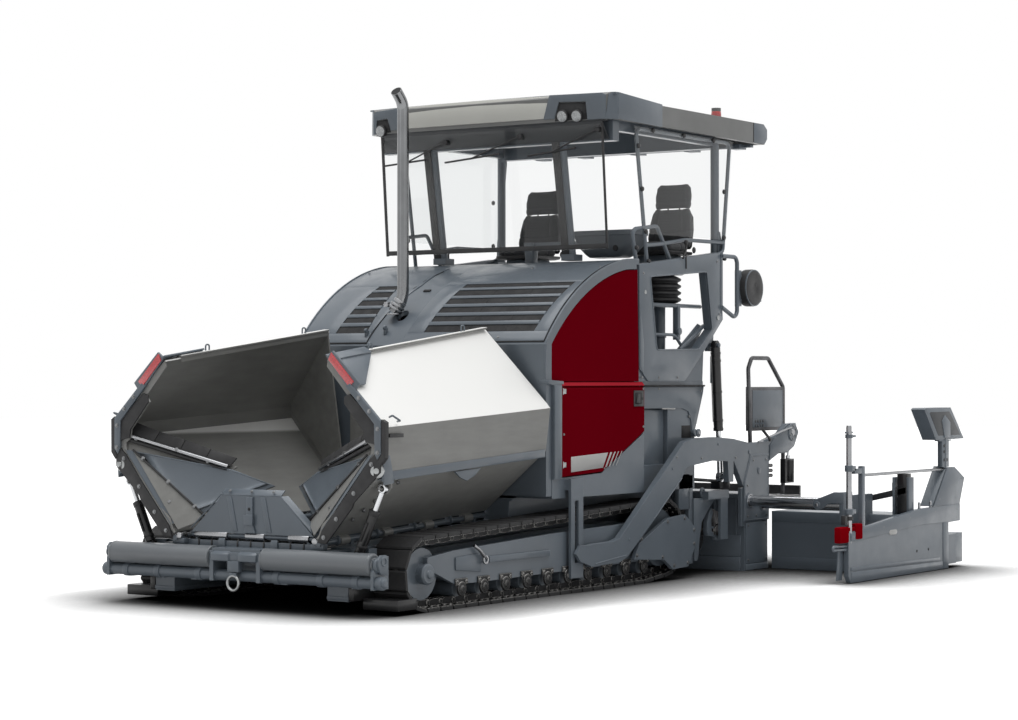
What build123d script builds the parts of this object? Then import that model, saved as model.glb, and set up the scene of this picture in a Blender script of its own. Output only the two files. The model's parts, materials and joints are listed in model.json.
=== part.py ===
from build123d import *
import math
import os

os.makedirs("parts", exist_ok=True)

# A tracked asphalt paver with its screed widened on both sides. Millimetres.
# X points forward to the hopper, Y to the machine's left, Z up. The origin lies on the
# ground under the middle of the whole machine.

# Widths. The basic width is what the machine paves with its screed extensions in.
basic_half_width = 1275
body_half_width = basic_half_width - 75
hood_half_width = body_half_width - 10
rear_body_half = body_half_width - 50
roof_half_width = body_half_width

# Tracks
track_width = 310
track_outer_y = basic_half_width - 50
shoe_height = 30
chain_height = 48
chain_width = 130
shoe_count = 54
idler_x = 2710
idler_outer_radius = 265
last_roller_x = -220
sprocket_x = -540
sprocket_z = 345
sprocket_outer_radius = 310
roller_radius = 55
roller_count = 10
first_roller_x = 2290
wheel_gap = 0.5
frame_plate_thickness = 40

# Main frame
frame_beam_width = 220
frame_outer_y = track_outer_y - track_width - 55
frame_inner_y = frame_outer_y - frame_beam_width
frame_front_x = 3050
frame_rear_x = -1250
frame_top_z = 700
frame_bottom_z = 180
deck_z = 300

# Push bar
push_roller_x = 3272.5
push_roller_z = 363
push_roller_radius = 77.5
push_roller_inner_y = 240
push_bar_half_width = basic_half_width + 10
lower_tube_radius = 40
lower_tube_z = 240
push_pin_radius = 22
tow_ring_z = 190
tow_ring_radius = 62
tow_ring_hole = 40

# Hopper
hopper_front_x = 3220
hopper_rear_x = 1180
hopper_rear_gap = 20
hopper_hinge_y = frame_inner_y + 15
hopper_hinge_z = 510
hopper_rise = 0.055
hopper_top_rise = 0.126
hopper_top_rear_x = 1320
hopper_sheet = 14
lining_band = 90
hinge_drop = 30
hinge_radius = 20
knuckle_radius = 34
wing_corner_y = basic_half_width - 75
wing_fold_y = basic_half_width - 35
wing_top_y = hopper_hinge_y + 91
wing_corner_z = 970
wing_fold_z = 1290
wing_top_z = 1754

# Operator's platform
floor_z = 1600
floor_thickness = 40
platform_side_thickness = 45
platform_front_x = -190
platform_rear_x = -1560
sill_height = 1040
sill_z = floor_z + sill_height
handrail_radius = 18

# Bodywork
door_front_x = 970
door_rear_x = -250
door_bottom_z = 880
door_top_z = floor_z - 35
door_thickness = 50
panel_gap = 6
body_skin = 30
hood_top_z = sill_z - 75
fender_drop = 6

# Roof
headroom = 2040
roof_thickness = 220
roof_front_x = 220
roof_cap_length = 750
roof_cap_step = 45
roof_rear_x = -2320
roof_bottom_z = floor_z + headroom
roof_top_z = roof_bottom_z + roof_thickness
roof_skin = 40
roof_deck_z = roof_top_z - roof_cap_step
roof_ceiling_z = roof_deck_z - roof_skin
roof_wall = 50
roof_chamfer = 70
beacon_x = -1600
beacon_radius = 40
beacon_height = 85
beam_y = rear_body_half - 90
front_post_y = 630
rear_post_y = rear_body_half - 65
rear_post_x = -1600
post_radius = 36
frame_tube_y = rear_body_half - 7
frame_tube_radius = 16
glass_thickness = 8

# Levelling arms
arm_pivot_x = 830
arm_pivot_z = 300
arm_inner_y = basic_half_width - 40
arm_thickness = 50
arm_pin_radius = 26
arm_pin_play = 0.3
tow_post_thickness = 24
tow_post_y = track_outer_y + 3.5
tow_post_x = 740
tow_post_length = 170

# Lift cylinders of the screed
lift_top_x = -1430
lift_top_z = floor_z + 300
lift_eye_x = -1510
lift_eye_z = 800
lift_y = rear_body_half + 35
lift_barrel_radius = 40
lift_rod_radius = 24
lift_barrel_length = 715
lift_rod_length = 700
lift_eye_pin_radius = 16
lift_eye_play = 9.5
lift_pin_radius = 18

# Screed
screed_front_x = -1770
screed_depth = 410
screed_half_width = basic_half_width
screed_height = 650
screed_side_thickness = 30
walkway_depth = 700
walkway_z = 560
walkway_thickness = 40
extension_inner_y = screed_half_width + 35
extension_length = 1240
extension_outer_y = extension_inner_y + extension_length
extension_depth = 450
extension_height = 490
extension_gap = 10
guide_tube_radius = 45
guide_tube_inner_y = screed_half_width - 125
guide_tube_outer_y = extension_outer_y - 320
slide_fit = 0.5
end_gate_thickness = 40
end_gate_front_x = -1060
end_gate_rear_x = -2980

# Augers
auger_x = -1520
auger_z = 350
auger_radius = 190
auger_shaft_radius = 45
auger_inner_y = 60
auger_outer_y = screed_half_width - 85
auger_pin_radius = 24

# Exhaust
exhaust_y = -300
exhaust_x = 940
exhaust_radius = 46
exhaust_top_z = 3910

# Cable reel behind the platform's left side
reel_x = -1980
reel_z = sill_z - 246
reel_radius = 155
reel_width = 90
reel_tube_x = -1797

# Handrail and box panel on the screed's left end
screed_rail_y = 1100
screed_rail_front_x = -2160
screed_rail_rear_x = -2520
screed_rail_top_z = 1800

sides = (("left", 1), ("right", -1))


def outline_xz(points, y):
    """Face in the X-Z plane at the given y."""
    with BuildSketch(Plane.XZ.offset(-y)) as face:
        with BuildLine():
            Polyline(*points, close=True)
        make_face()
    return face.sketch


def outline_yz(points, x):
    """Face in the Y-Z plane at the given x."""
    with BuildSketch(Plane.YZ.offset(x)) as face:
        with BuildLine():
            Polyline(*points, close=True)
        make_face()
    return face.sketch


def side_plate(points, y_from, y_to, mode=Mode.ADD):
    """Plate with an X-Z outline, between two values of y."""
    extrude(outline_xz(points, y_from), amount=y_from - y_to, mode=mode)


def cross_plate(points, x_from, x_to, mode=Mode.ADD):
    """Plate with a Y-Z outline, between two values of x."""
    extrude(outline_yz(points, x_from), amount=x_to - x_from, mode=mode)


def spatial_plate(corners, thickness):
    """Plate through corners that lie in one plane, with its thickness behind them."""
    points = [Vector(*corner) for corner in corners]
    along = (points[1] - points[0]).normalized()
    facing = along.cross(points[2] - points[0]).normalized()
    plane = Plane(origin=points[0], x_dir=along, z_dir=facing)
    flat = [plane.to_local_coords(point) for point in points]
    with BuildSketch(plane) as face:
        with BuildLine():
            Polyline(*[(point.X, point.Y) for point in flat], close=True)
        make_face()
    extrude(face.sketch, amount=-thickness)


def block(x_from, x_to, y_from, y_to, z_from, z_to, mode=Mode.ADD):
    """Box between two corners."""
    with Locations(((x_from + x_to) / 2, (y_from + y_to) / 2, (z_from + z_to) / 2)):
        Box(abs(x_to - x_from), abs(y_to - y_from), abs(z_to - z_from), mode=mode)


def rod(start, end, radius, mode=Mode.ADD):
    """Round bar between two points."""
    start = Vector(*start)
    run = Vector(*end) - start
    with BuildSketch(Plane(origin=start, z_dir=run.normalized())) as section:
        Circle(radius)
    extrude(section.sketch, amount=run.length, mode=mode)


def bent_tube(points, radius, bend):
    """Round bar along a path of straight runs joined by arcs."""
    with BuildLine() as path:
        FilletPolyline(*points, radius=bend)
    with BuildSketch(Plane(origin=path.line @ 0, z_dir=path.line % 0)) as section:
        Circle(radius)
    sweep(section.sketch, path=path.line)


def save(builder, name):
    """Label a finished piece and write its file."""
    builder.part.label = name
    export_step(builder.part, f"parts/{name}.step")


def mirrored(points, s):
    """Points of a Y-Z outline on side s."""
    return [(s * y, z) for y, z in points]


# The tracks' loop: a belt round the idler, the last ground roller and the sprocket.
last_roller_outer = 2 * roller_radius
wheels = [
    (idler_x, idler_outer_radius, idler_outer_radius),
    (sprocket_x, sprocket_z, sprocket_outer_radius),
    (last_roller_x, last_roller_outer, last_roller_outer),
]


def belt_runs():
    """Straight runs and arcs of the outer loop, front wheel first, over the top to the rear."""
    runs = []
    tangents = []
    for index, (x0, z0, r0) in enumerate(wheels):
        x1, z1, r1 = wheels[(index + 1) % len(wheels)]
        dx = x1 - x0
        dz = z1 - z0
        length = math.hypot(dx, dz)
        normal = math.atan2(dz, dx) - math.acos((r0 - r1) / length)
        tangents.append((normal, length))
    count = len(wheels)
    for index, (x0, z0, r0) in enumerate(wheels):
        x1, z1, r1 = wheels[(index + 1) % count]
        before = tangents[index - 1][0]
        after = tangents[index][0]
        while after < before:
            after += 2 * math.pi
        runs.append(("arc", (x0, z0, r0, before, after), r0 * (after - before)))
        start = (x0 + r0 * math.cos(after), z0 + r0 * math.sin(after))
        end = (x1 + r1 * math.cos(after), z1 + r1 * math.sin(after))
        run_length = math.hypot(end[0] - start[0], end[1] - start[1])
        runs.append(("line", (start, end, after), run_length))
    return runs


track_runs = belt_runs()
track_length = sum(run[2] for run in track_runs)


def belt_point(distance, depth):
    """Point of the loop at a distance along it, and a depth inside its outer face."""
    distance = distance % track_length
    for kind, shape, length in track_runs:
        if distance <= length:
            if kind == "arc":
                x0, z0, r0, before, after = shape
                angle = before + (after - before) * distance / length
                return (x0 + (r0 - depth) * math.cos(angle), z0 + (r0 - depth) * math.sin(angle))
            start, end, angle = shape
            share = distance / length
            x = start[0] + (end[0] - start[0]) * share - depth * math.cos(angle)
            z = start[1] + (end[1] - start[1]) * share - depth * math.sin(angle)
            return (x, z)
        distance -= length
    return belt_point(0, depth)


shoe_pitch = track_length / shoe_count
shoe_root = 12
chain_depth = shoe_height + chain_height
shoe_outline = []
for index in range(shoe_count):
    start = index * shoe_pitch
    # columns: share of the pitch, depth below the shoe's face
    for share, depth in ((0.04, shoe_root), (0.06, 0), (0.94, 0), (0.96, shoe_root)):
        shoe_outline.append(belt_point(start + share * shoe_pitch, depth))
inner_count = 2 * shoe_count
shoe_inner = [belt_point(i * track_length / inner_count, shoe_height) for i in range(inner_count)]
chain_inner = [belt_point(i * track_length / inner_count, chain_depth) for i in range(inner_count)]

track_inner_y = track_outer_y - track_width
track_middle_y = track_outer_y - track_width / 2
chain_wheel_gap = chain_depth + wheel_gap
guide_inner_y = track_middle_y - 95
guide_outer_y = track_middle_y + 95

for side, s in sides:
    with BuildPart() as track:
        side_plate(shoe_outline, s * track_inner_y, s * track_outer_y)
        side_plate(shoe_inner, s * track_inner_y, s * track_outer_y, mode=Mode.SUBTRACT)
        chain_from = track_middle_y - chain_width / 2
        chain_to = track_middle_y + chain_width / 2
        side_plate(shoe_inner, s * chain_from, s * chain_to)
        side_plate(chain_inner, s * chain_from, s * chain_to, mode=Mode.SUBTRACT)
    save(track, f"track_{side}")

    with BuildPart() as track_frame:
        outer_plate = [
            (last_roller_x - 110, 180),
            (first_roller_x - 277, 166),
            (first_roller_x + 70, 172),
            (idler_x - 20, 300),
            (idler_x - 20, 378),
            (idler_x - 340, 410),
            (1130, 462),
            (last_roller_x + 100, 490),
            (last_roller_x - 110, 470),
        ]
        y_out = guide_outer_y
        y_in = guide_inner_y
        side_plate(outer_plate, s * y_out, s * (y_out + frame_plate_thickness))
        side_plate(outer_plate, s * (y_in - frame_plate_thickness), s * y_in)
        block(last_roller_x - 200, idler_x - 300, s * (y_in - 5), s * (y_out + 5), 230, 380)
        spacing = (first_roller_x - last_roller_x) / (roller_count - 1)
        for i in range(roller_count):
            roller_x = last_roller_x + i * spacing
            roller_z = chain_wheel_gap + roller_radius + 1
            rod((roller_x, s * (y_in - 5), roller_z), (roller_x, s * (y_out + 5), roller_z), roller_radius)
        chord = track_length / inner_count
        idler_radius = idler_outer_radius - chain_wheel_gap
        idler_radius -= chord ** 2 / (8 * idler_radius)
        idler_z = idler_outer_radius
        rod((idler_x, s * y_in, idler_z), (idler_x, s * y_out, idler_z), idler_radius)
        rod((idler_x, s * (y_in - 40), idler_z), (idler_x, s * (y_out + 40), idler_z), 70)
        sprocket_radius = sprocket_outer_radius - chain_wheel_gap
        sprocket_radius -= chord ** 2 / (8 * sprocket_radius)
        rod((sprocket_x, s * y_in, sprocket_z), (sprocket_x, s * y_out, sprocket_z), sprocket_radius)
        rod((sprocket_x, s * frame_outer_y, sprocket_z), (sprocket_x, s * y_in, sprocket_z), 150)
        for cross_x in (300, 1750):
            block(cross_x, cross_x + 220, s * frame_outer_y, s * (y_in - 20), 230, 400)
    save(track_frame, f"track_frame_{side}")

    cover_y = arm_inner_y
    with BuildPart() as sprocket_cover:
        cover_outline = [
            (20, 205), (-60, 330), (-510, 505), (-780, 520), (-955, 400), (-955, 270),
            (-830, 100), (-590, 90), (-450, 175),
        ]
        side_plate(cover_outline, s * cover_y, s * (cover_y + 34))
        block(-300, -160, s * (y_out + frame_plate_thickness), s * cover_y, 260, 380)
    save(sprocket_cover, f"sprocket_cover_{side}")

# Main frame with the conveyor's tunnel between its two beams.
def hinge_height(x):
    """Height of the wings' hinge at a station."""
    return hopper_hinge_z - hinge_drop + hopper_rise * (hopper_front_x - x)


sill_front_x = push_roller_x - 122.5
sill_rear_x = sill_front_x - 40
skid_front_x = sill_front_x + 15
cylinder_arm_rear_x = 3000
cylinder_arm_front_x = 3090
cylinder_pin_front_x = skid_front_x
apron_hinge_x = sill_front_x - 20
apron_hinge_z = 505
apron_hinge_radius = 12
apron_bottom_half = 560
apron_top_half = 266
hinge_bracket_x = (1330, 1830, 2330, 2830)
cylinder_x = 3134
cylinder_base_y = frame_outer_y + 90
cylinder_base_z = 420
cylinder_eye_y = wing_corner_y - 45
cylinder_eye_z = 872
cylinder_pin_radius = 15
eye_pin_radius = 10
eye_play = 10.5
cylinder_eye_half = 16

with BuildPart() as chassis:
    beam = [
        (frame_front_x, 230),
        (frame_front_x, 450),
        (hopper_rear_x, 555),
        (hopper_rear_x - 20, frame_top_z),
        (frame_rear_x, frame_top_z),
        (frame_rear_x, 320),
        (-900, frame_bottom_z),
        (2850, frame_bottom_z),
    ]
    for side, s in sides:
        side_plate(beam, s * frame_inner_y, s * frame_outer_y)
        nose_y = frame_inner_y + 60
        block(frame_front_x, push_roller_x - 100, s * nose_y, s * (nose_y + 100), 250, 440)
        skid = [(2480, 90), (skid_front_x, 90), (skid_front_x, 200), (2980, 230), (2480, 200)]
        side_plate(skid, s * nose_y, s * (nose_y + 180))
        block(cylinder_arm_rear_x, cylinder_arm_front_x, s * (frame_outer_y - 5), s * (cylinder_base_y + 50), 385, 455)
        rod((cylinder_arm_front_x, s * cylinder_base_y, cylinder_base_z),
            (cylinder_pin_front_x, s * cylinder_base_y, cylinder_base_z), cylinder_pin_radius)
        hinge_from = (hopper_front_x - 10, s * hopper_hinge_y, hinge_height(hopper_front_x - 10))
        hinge_to = (hopper_rear_x + 20, s * hopper_hinge_y, hinge_height(hopper_rear_x + 20))
        rod(hinge_from, hinge_to, hinge_radius)
        for x in hinge_bracket_x:
            block(x, x + 30, s * (frame_inner_y + 2), s * (hopper_hinge_y + 17), 430, hinge_height(x + 30) - 2)
        block(sill_rear_x, apron_hinge_x + apron_hinge_radius, s * 500, s * 520, 460, apron_hinge_z)
        block(sill_rear_x, sill_front_x, s * frame_inner_y, s * (nose_y + 20), 300, 440)
    for cross_x in (-800, 300, 1500, 2600):
        block(cross_x, cross_x + 220, -frame_inner_y, frame_inner_y, frame_bottom_z, deck_z)
    block(frame_rear_x, hopper_rear_x - 20, -frame_outer_y - 20, frame_outer_y + 20, frame_top_z, frame_top_z + 20)
    block(sill_rear_x, sill_front_x, -frame_inner_y - 10, frame_inner_y + 10, 300, 470)
    rod((apron_hinge_x, -apron_bottom_half, apron_hinge_z), (apron_hinge_x, apron_bottom_half, apron_hinge_z),
        apron_hinge_radius)
save(chassis, "chassis")

with BuildPart() as conveyor_deck:
    conveyor_front_x = sill_rear_x - 10
    conveyor_rear_x = frame_rear_x - 60
    half = frame_inner_y - 10
    block(conveyor_rear_x, conveyor_front_x, -half, half, deck_z, deck_z + 15)
    slat_pitch = 150
    slat_count = int((conveyor_front_x - conveyor_rear_x - 40) / slat_pitch) + 1
    for i in range(slat_count):
        slat_x = conveyor_rear_x + 20 + i * slat_pitch
        block(slat_x, slat_x + 25, -half + 20, -20, deck_z + 15, deck_z + 40)
        block(slat_x, slat_x + 25, 20, half - 20, deck_z + 15, deck_z + 40)
    block(conveyor_rear_x, conveyor_front_x, -15, 15, deck_z + 15, deck_z + 70)
save(conveyor_deck, "conveyor_deck")

# Push bar with its two rollers and the lower tube.
with BuildPart() as push_bar:
    tube_z = lower_tube_z
    tube_end = push_bar_half_width - 30
    rod((push_roller_x, -tube_end, tube_z), (push_roller_x, tube_end, tube_z), lower_tube_radius)
    for side, s in sides:
        plate = [
            (push_roller_x + 55, tube_z - 40), (push_roller_x + 55, push_roller_z + 50),
            (push_roller_x - 120, push_roller_z + 60), (push_roller_x - 120, tube_z - 40),
        ]
        side_plate(plate, s * (push_roller_inner_y - 45), s * (push_roller_inner_y - 10))
        block(push_roller_x - 100, push_roller_x - 85, s * 150, s * 1150, tube_z - 20, tube_z + 90)
        for clamp_y in (380, 700, 1000):
            block(push_roller_x - 100, push_roller_x + 10, s * clamp_y, s * (clamp_y + 60), tube_z - 46, tube_z + 30)
        end_plate = [
            (push_roller_x + 50, tube_z - 45), (push_roller_x + 50, push_roller_z - 40),
            (push_roller_x - 20, push_roller_z + 55), (push_roller_x - 120, push_roller_z + 55),
            (push_roller_x - 120, tube_z - 45),
        ]
        inner = push_bar_half_width - 95
        side_plate(end_plate, s * inner, s * (inner + 25))
        block(push_roller_x - 100, push_roller_x - 85, s * 1100, s * (inner + 10), tube_z - 20, tube_z + 90)
    block(push_roller_x - 120, push_roller_x + 40, -push_roller_inner_y + 20, push_roller_inner_y - 20, 370, 430)
    for side, s in sides:
        rod((push_roller_x, s * (push_roller_inner_y - 20), push_roller_z),
            (push_roller_x, s * (push_roller_inner_y + 60), push_roller_z), push_pin_radius)
        rod((push_roller_x, s * (push_bar_half_width - 140), push_roller_z),
            (push_roller_x, s * (push_bar_half_width - 75), push_roller_z), push_pin_radius)
        side_plate([(push_roller_x - 20, 300), (push_roller_x + 30, 300), (push_roller_x + 40, 400),
                    (push_roller_x - 60, 400), (push_roller_x - 60, 300)],
                   s * (push_bar_half_width - 95), s * (push_bar_half_width - 70))
save(push_bar, "push_bar")

for side, s in sides:
    with BuildPart() as push_roller:
        y0 = push_roller_inner_y
        y1 = push_bar_half_width - 100
        rod((push_roller_x, s * y0, push_roller_z), (push_roller_x, s * y1, push_roller_z), push_roller_radius)
        fillet(push_roller.edges().filter_by(GeomType.CIRCLE), 14)
        rod((push_roller_x, s * y0, push_roller_z), (push_roller_x, s * (y0 + 70), push_roller_z),
            push_pin_radius + slide_fit, mode=Mode.SUBTRACT)
        rod((push_roller_x, s * (y1 - 50), push_roller_z), (push_roller_x, s * y1, push_roller_z),
            push_pin_radius + slide_fit, mode=Mode.SUBTRACT)
    save(push_roller, f"push_roller_{side}")

with BuildPart() as tow_ring:
    with BuildSketch(Plane.YZ.offset(push_roller_x + 55)):
        with Locations((0, tow_ring_z)):
            Circle(tow_ring_radius)
            Circle(tow_ring_hole, mode=Mode.SUBTRACT)
    extrude(amount=24)
    ring_top = tow_ring_z + tow_ring_radius
    block(push_roller_x + 40, push_roller_x + 55, -40, 40, ring_top - 16, ring_top + 20)
    block(push_roller_x + 40, push_roller_x + 77, -40, 40, ring_top - 16, ring_top + 4)
save(tow_ring, "tow_ring")

# Hopper wings, folded. Each is bent sheet along an axis that rises to the rear, and its top
# edge rises faster.
def wing_section(x):
    """Y and Z of hinge, lower corner, fold, and top edge at a station."""
    reach = hopper_front_x - x
    rise = hopper_rise * reach
    return [
        (hopper_hinge_y, hopper_hinge_z + rise),
        (wing_corner_y, wing_corner_z + rise),
        (wing_fold_y, wing_fold_z + rise),
        (wing_top_y, wing_top_z + hopper_top_rise * reach),
    ]


def offset_section(section, sheet):
    """The same bent line, set inwards by the sheet's thickness."""
    inner = []
    for index, (y, z) in enumerate(section):
        normals = []
        if index > 0:
            py, pz = section[index - 1]
            run = math.hypot(y - py, z - pz)
            normals.append(((pz - z) / run, (y - py) / run))
        if index < len(section) - 1:
            ny, nz = section[index + 1]
            run = math.hypot(ny - y, nz - z)
            normals.append(((z - nz) / run, (ny - y) / run))
        my = sum(n[0] for n in normals)
        mz = sum(n[1] for n in normals)
        size = math.hypot(my, mz)
        share = sheet / (size / len(normals)) / size
        inner.append((y + my * share, z + mz * share))
    return inner


# columns: x, y, z of the front flap's corners, the first two on the wing's front edge
flap_corners = (
    (hopper_front_x - 6, wing_corner_y - 47, 1095),
    (hopper_front_x - 6, hopper_hinge_y + 45, 560),
    (2728, 122, 841),
    (2900, 423, 950),
    (2848, 383, 988),
    (hopper_front_x - 6, wing_corner_y - 85, 1250),
)
flap_thickness = 12
# columns: y and z from the wing's fold
upper_flap_from_fold = ((-311, 225), (-346, 163), (-171, -38), (-162, -100), (-45, -190), (-5, 0), (-285, 262))
upper_flap = [(wing_fold_y + y, wing_fold_z + z) for y, z in upper_flap_from_fold]
# columns: y and z from the wing's lower corner
lug_from_corner = ((-120, -88), (-5, 10), (5, -90), (-35, -135), (-90, -120))
lug = [(wing_corner_y + y, wing_corner_z + z) for y, z in lug_from_corner]

for side, s in sides:
    with BuildPart() as wing:
        front = wing_section(hopper_front_x)
        middle = wing_section(hopper_top_rear_x)
        rear = wing_section(hopper_rear_x)
        slant = rear[:3] + [(rear[2][0] - 30, rear[2][1] + 35)]
        # columns: station ahead, its section, station behind, its section
        for x_ahead, ahead, x_behind, behind in (
            (hopper_front_x, front, hopper_top_rear_x, middle),
            (hopper_top_rear_x, middle, hopper_rear_x, slant),
        ):
            faces = []
            for x, outer in ((x_ahead, ahead), (x_behind, behind)):
                inner = offset_section(outer, hopper_sheet)
                inner[1] = (inner[2][0] - 6, inner[2][1] - lining_band)
                faces.append(outline_yz(mirrored(outer + inner[::-1], s), x))
            loft(faces, ruled=True)
        rear_wall = [(rear[0][0] + 5, rear[0][1] + 5), rear[1], rear[2], (rear[0][0] + 5, rear[0][1] + 100)]
        cross_plate(mirrored(rear_wall, s), hopper_rear_x, hopper_rear_x + hopper_sheet)
        top_x = hopper_top_rear_x
        spatial_plate(
            ((hopper_rear_x + 26, s * (rear[0][0] + 5), rear[0][1] + 90),
             (hopper_rear_x + 26, s * (rear[2][0] - 10), rear[2][1] - 5),
             (top_x + 8, s * (middle[3][0] + 6), middle[3][1] - 8)),
            s * hopper_sheet,
        )
        apron = [front[0], front[1], front[2], front[3], (wing_top_y - 10, front[3][1] - 50),
                 (wing_fold_y - 100, front[2][1] - 30), (wing_corner_y - 110, front[1][1] - 20),
                 (hopper_hinge_y + 40, front[0][1] + 110)]
        cross_plate(mirrored(apron, s), hopper_front_x - 12, hopper_front_x)
        cross_plate(mirrored(upper_flap, s), hopper_front_x - 12, hopper_front_x)
        spatial_plate([(x, s * y, z) for x, y, z in flap_corners], s * flap_thickness)
        cross_plate(mirrored(lug, s), cylinder_x - 39, cylinder_x - 24)
        rod((cylinder_x - 30, s * cylinder_eye_y, cylinder_eye_z),
            (cylinder_x + 30, s * cylinder_eye_y, cylinder_eye_z), eye_pin_radius)
        for x in hinge_bracket_x:
            knuckle_from = (x + 60, s * hopper_hinge_y, hinge_height(x + 60))
            knuckle_to = (x + 160, s * hopper_hinge_y, hinge_height(x + 160))
            rod(knuckle_from, knuckle_to, knuckle_radius)
            rod(knuckle_from, knuckle_to, hinge_radius + slide_fit, mode=Mode.SUBTRACT)
    save(wing, f"hopper_wing_{side}")

    base = Vector(cylinder_x, s * cylinder_base_y, cylinder_base_z)
    eye = Vector(cylinder_x, s * cylinder_eye_y, cylinder_eye_z)
    aim = (eye - base).normalized()
    across = Vector(cylinder_eye_half, 0, 0)
    with BuildPart() as hopper_barrel:
        rod(base + aim * 20, base + aim * 330, 36)
        rod(base - across, base + across, 36)
        rod(base - across, base + across, cylinder_pin_radius + slide_fit, mode=Mode.SUBTRACT)
        rod(base + aim * 60, base + aim * 330, 20 + slide_fit, mode=Mode.SUBTRACT)
    save(hopper_barrel, f"hopper_barrel_{side}")

    with BuildPart() as hopper_rod:
        rod(base + aim * 220, eye - aim * 25, 20)
        rod(eye - across, eye + across, 32)
        rod(eye - across, eye + across, eye_pin_radius + eye_play, mode=Mode.SUBTRACT)
    save(hopper_rod, f"hopper_rod_{side}")

with BuildPart() as hopper_back:
    back_top_z = hood_top_z - 715
    half = hopper_hinge_y - 8
    back = [(-half, frame_top_z + 20), (half, frame_top_z + 20), (half, back_top_z), (-half, back_top_z)]
    cross_plate(back, hopper_rear_x - hopper_rear_gap, hopper_rear_x - hopper_rear_gap + 10)
save(hopper_back, "hopper_back")

with BuildPart() as front_apron:
    apron_foot_z = apron_hinge_z + 18
    apron_bend_z = 794
    apron_front_x = apron_hinge_x + 14
    sheet = [(-apron_bottom_half, apron_foot_z), (apron_bottom_half, apron_foot_z), (apron_top_half, apron_bend_z),
             (-apron_top_half, apron_bend_z)]
    cross_plate(sheet, apron_front_x - 12, apron_front_x)
    lip = [(apron_front_x - 12, apron_bend_z), (apron_front_x, apron_bend_z), (apron_front_x - 38, 834),
           (apron_front_x - 46, 824)]
    side_plate(lip, -apron_top_half, apron_top_half)
    for side, s in sides:
        gusset = [(s * apron_bottom_half, apron_foot_z), (s * apron_top_half, apron_bend_z),
                  (s * (apron_top_half - 12), apron_bend_z - 6), (s * (apron_bottom_half - 18), apron_foot_z)]
        cross_plate(gusset, apron_front_x - 46, apron_front_x)
    for knuckle_y in (-400, 0, 400):
        knuckle_from = (apron_hinge_x, knuckle_y - 50, apron_hinge_z)
        knuckle_to = (apron_hinge_x, knuckle_y + 50, apron_hinge_z)
        rod(knuckle_from, knuckle_to, 24)
        rod(knuckle_from, knuckle_to, apron_hinge_radius + slide_fit, mode=Mode.SUBTRACT)
save(front_apron, "front_apron")

# Engine hood: a bent sheet over the engine, open at the sides where the red panels fit.
hood_front_x = hopper_rear_x - hopper_rear_gap
band_width = 75
hood_foot_z = 740
hood_shoulder_z = hood_top_z - 685
hood_crown_z = hood_top_z - 265


def hood_face(inset, y):
    """Face inside the hood's profile at the given y, drawn in from its outer face."""
    top = hood_top_z - inset
    with BuildSketch(Plane.XZ.offset(-y)) as face:
        with BuildLine():
            front = hood_front_x - inset
            Line((front, hood_foot_z), (front, hood_shoulder_z))
            ThreePointArc((front, hood_shoulder_z), (700 - 0.7 * inset, hood_crown_z - 0.75 * inset), (0, top - 10))
            Polyline((0, top - 10), (platform_front_x, top), (platform_front_x, hood_foot_z), (front, hood_foot_z))
        make_face()
    return face.sketch


grille_bays = ((-60, hood_half_width - 260), (-hood_half_width + 230, -520))
grille_rear_x = 330
grille_front_x = 1020
grille_slats = 6
grille_slat_pitch = 100
with BuildPart() as engine_hood:
    extrude(hood_face(0, hood_half_width), amount=2 * hood_half_width)
    extrude(hood_face(body_skin, hood_half_width - body_skin), amount=2 * (hood_half_width - body_skin),
            mode=Mode.SUBTRACT)
    for side, s in sides:
        extrude(hood_face(band_width, s * (hood_half_width + 1)), amount=s * (body_skin + 2), mode=Mode.SUBTRACT)
    block(platform_front_x - 1, hood_front_x - band_width, -hood_half_width - 1, hood_half_width + 1,
          hood_foot_z - 1, door_top_z + 40, mode=Mode.SUBTRACT)
    block(platform_front_x - 1, platform_front_x + 40, -hood_half_width, hood_half_width, hood_foot_z - 1,
          hood_top_z - 40, mode=Mode.SUBTRACT)
    for y_from, y_to in grille_bays:
        block(grille_rear_x, grille_front_x, y_from, y_to, hood_shoulder_z + 20, hood_top_z + 40, mode=Mode.SUBTRACT)
    rod((exhaust_x, exhaust_y, hood_shoulder_z), (exhaust_x, exhaust_y, hood_top_z), exhaust_radius + slide_fit,
        mode=Mode.SUBTRACT)
save(engine_hood, "engine_hood")

with BuildPart() as hood_grilles:
    for i in range(grille_slats):
        slat_x = grille_rear_x + 60 + i * grille_slat_pitch
        share = (slat_x - grille_rear_x) / (grille_front_x - grille_rear_x)
        slat_top = hood_top_z - 119 - 60 * share - 330 * share * share
        for y_from, y_to in grille_bays:
            block(slat_x, slat_x + 14, y_from, y_to, slat_top - 36, slat_top)
save(hood_grilles, "hood_grilles")

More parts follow.
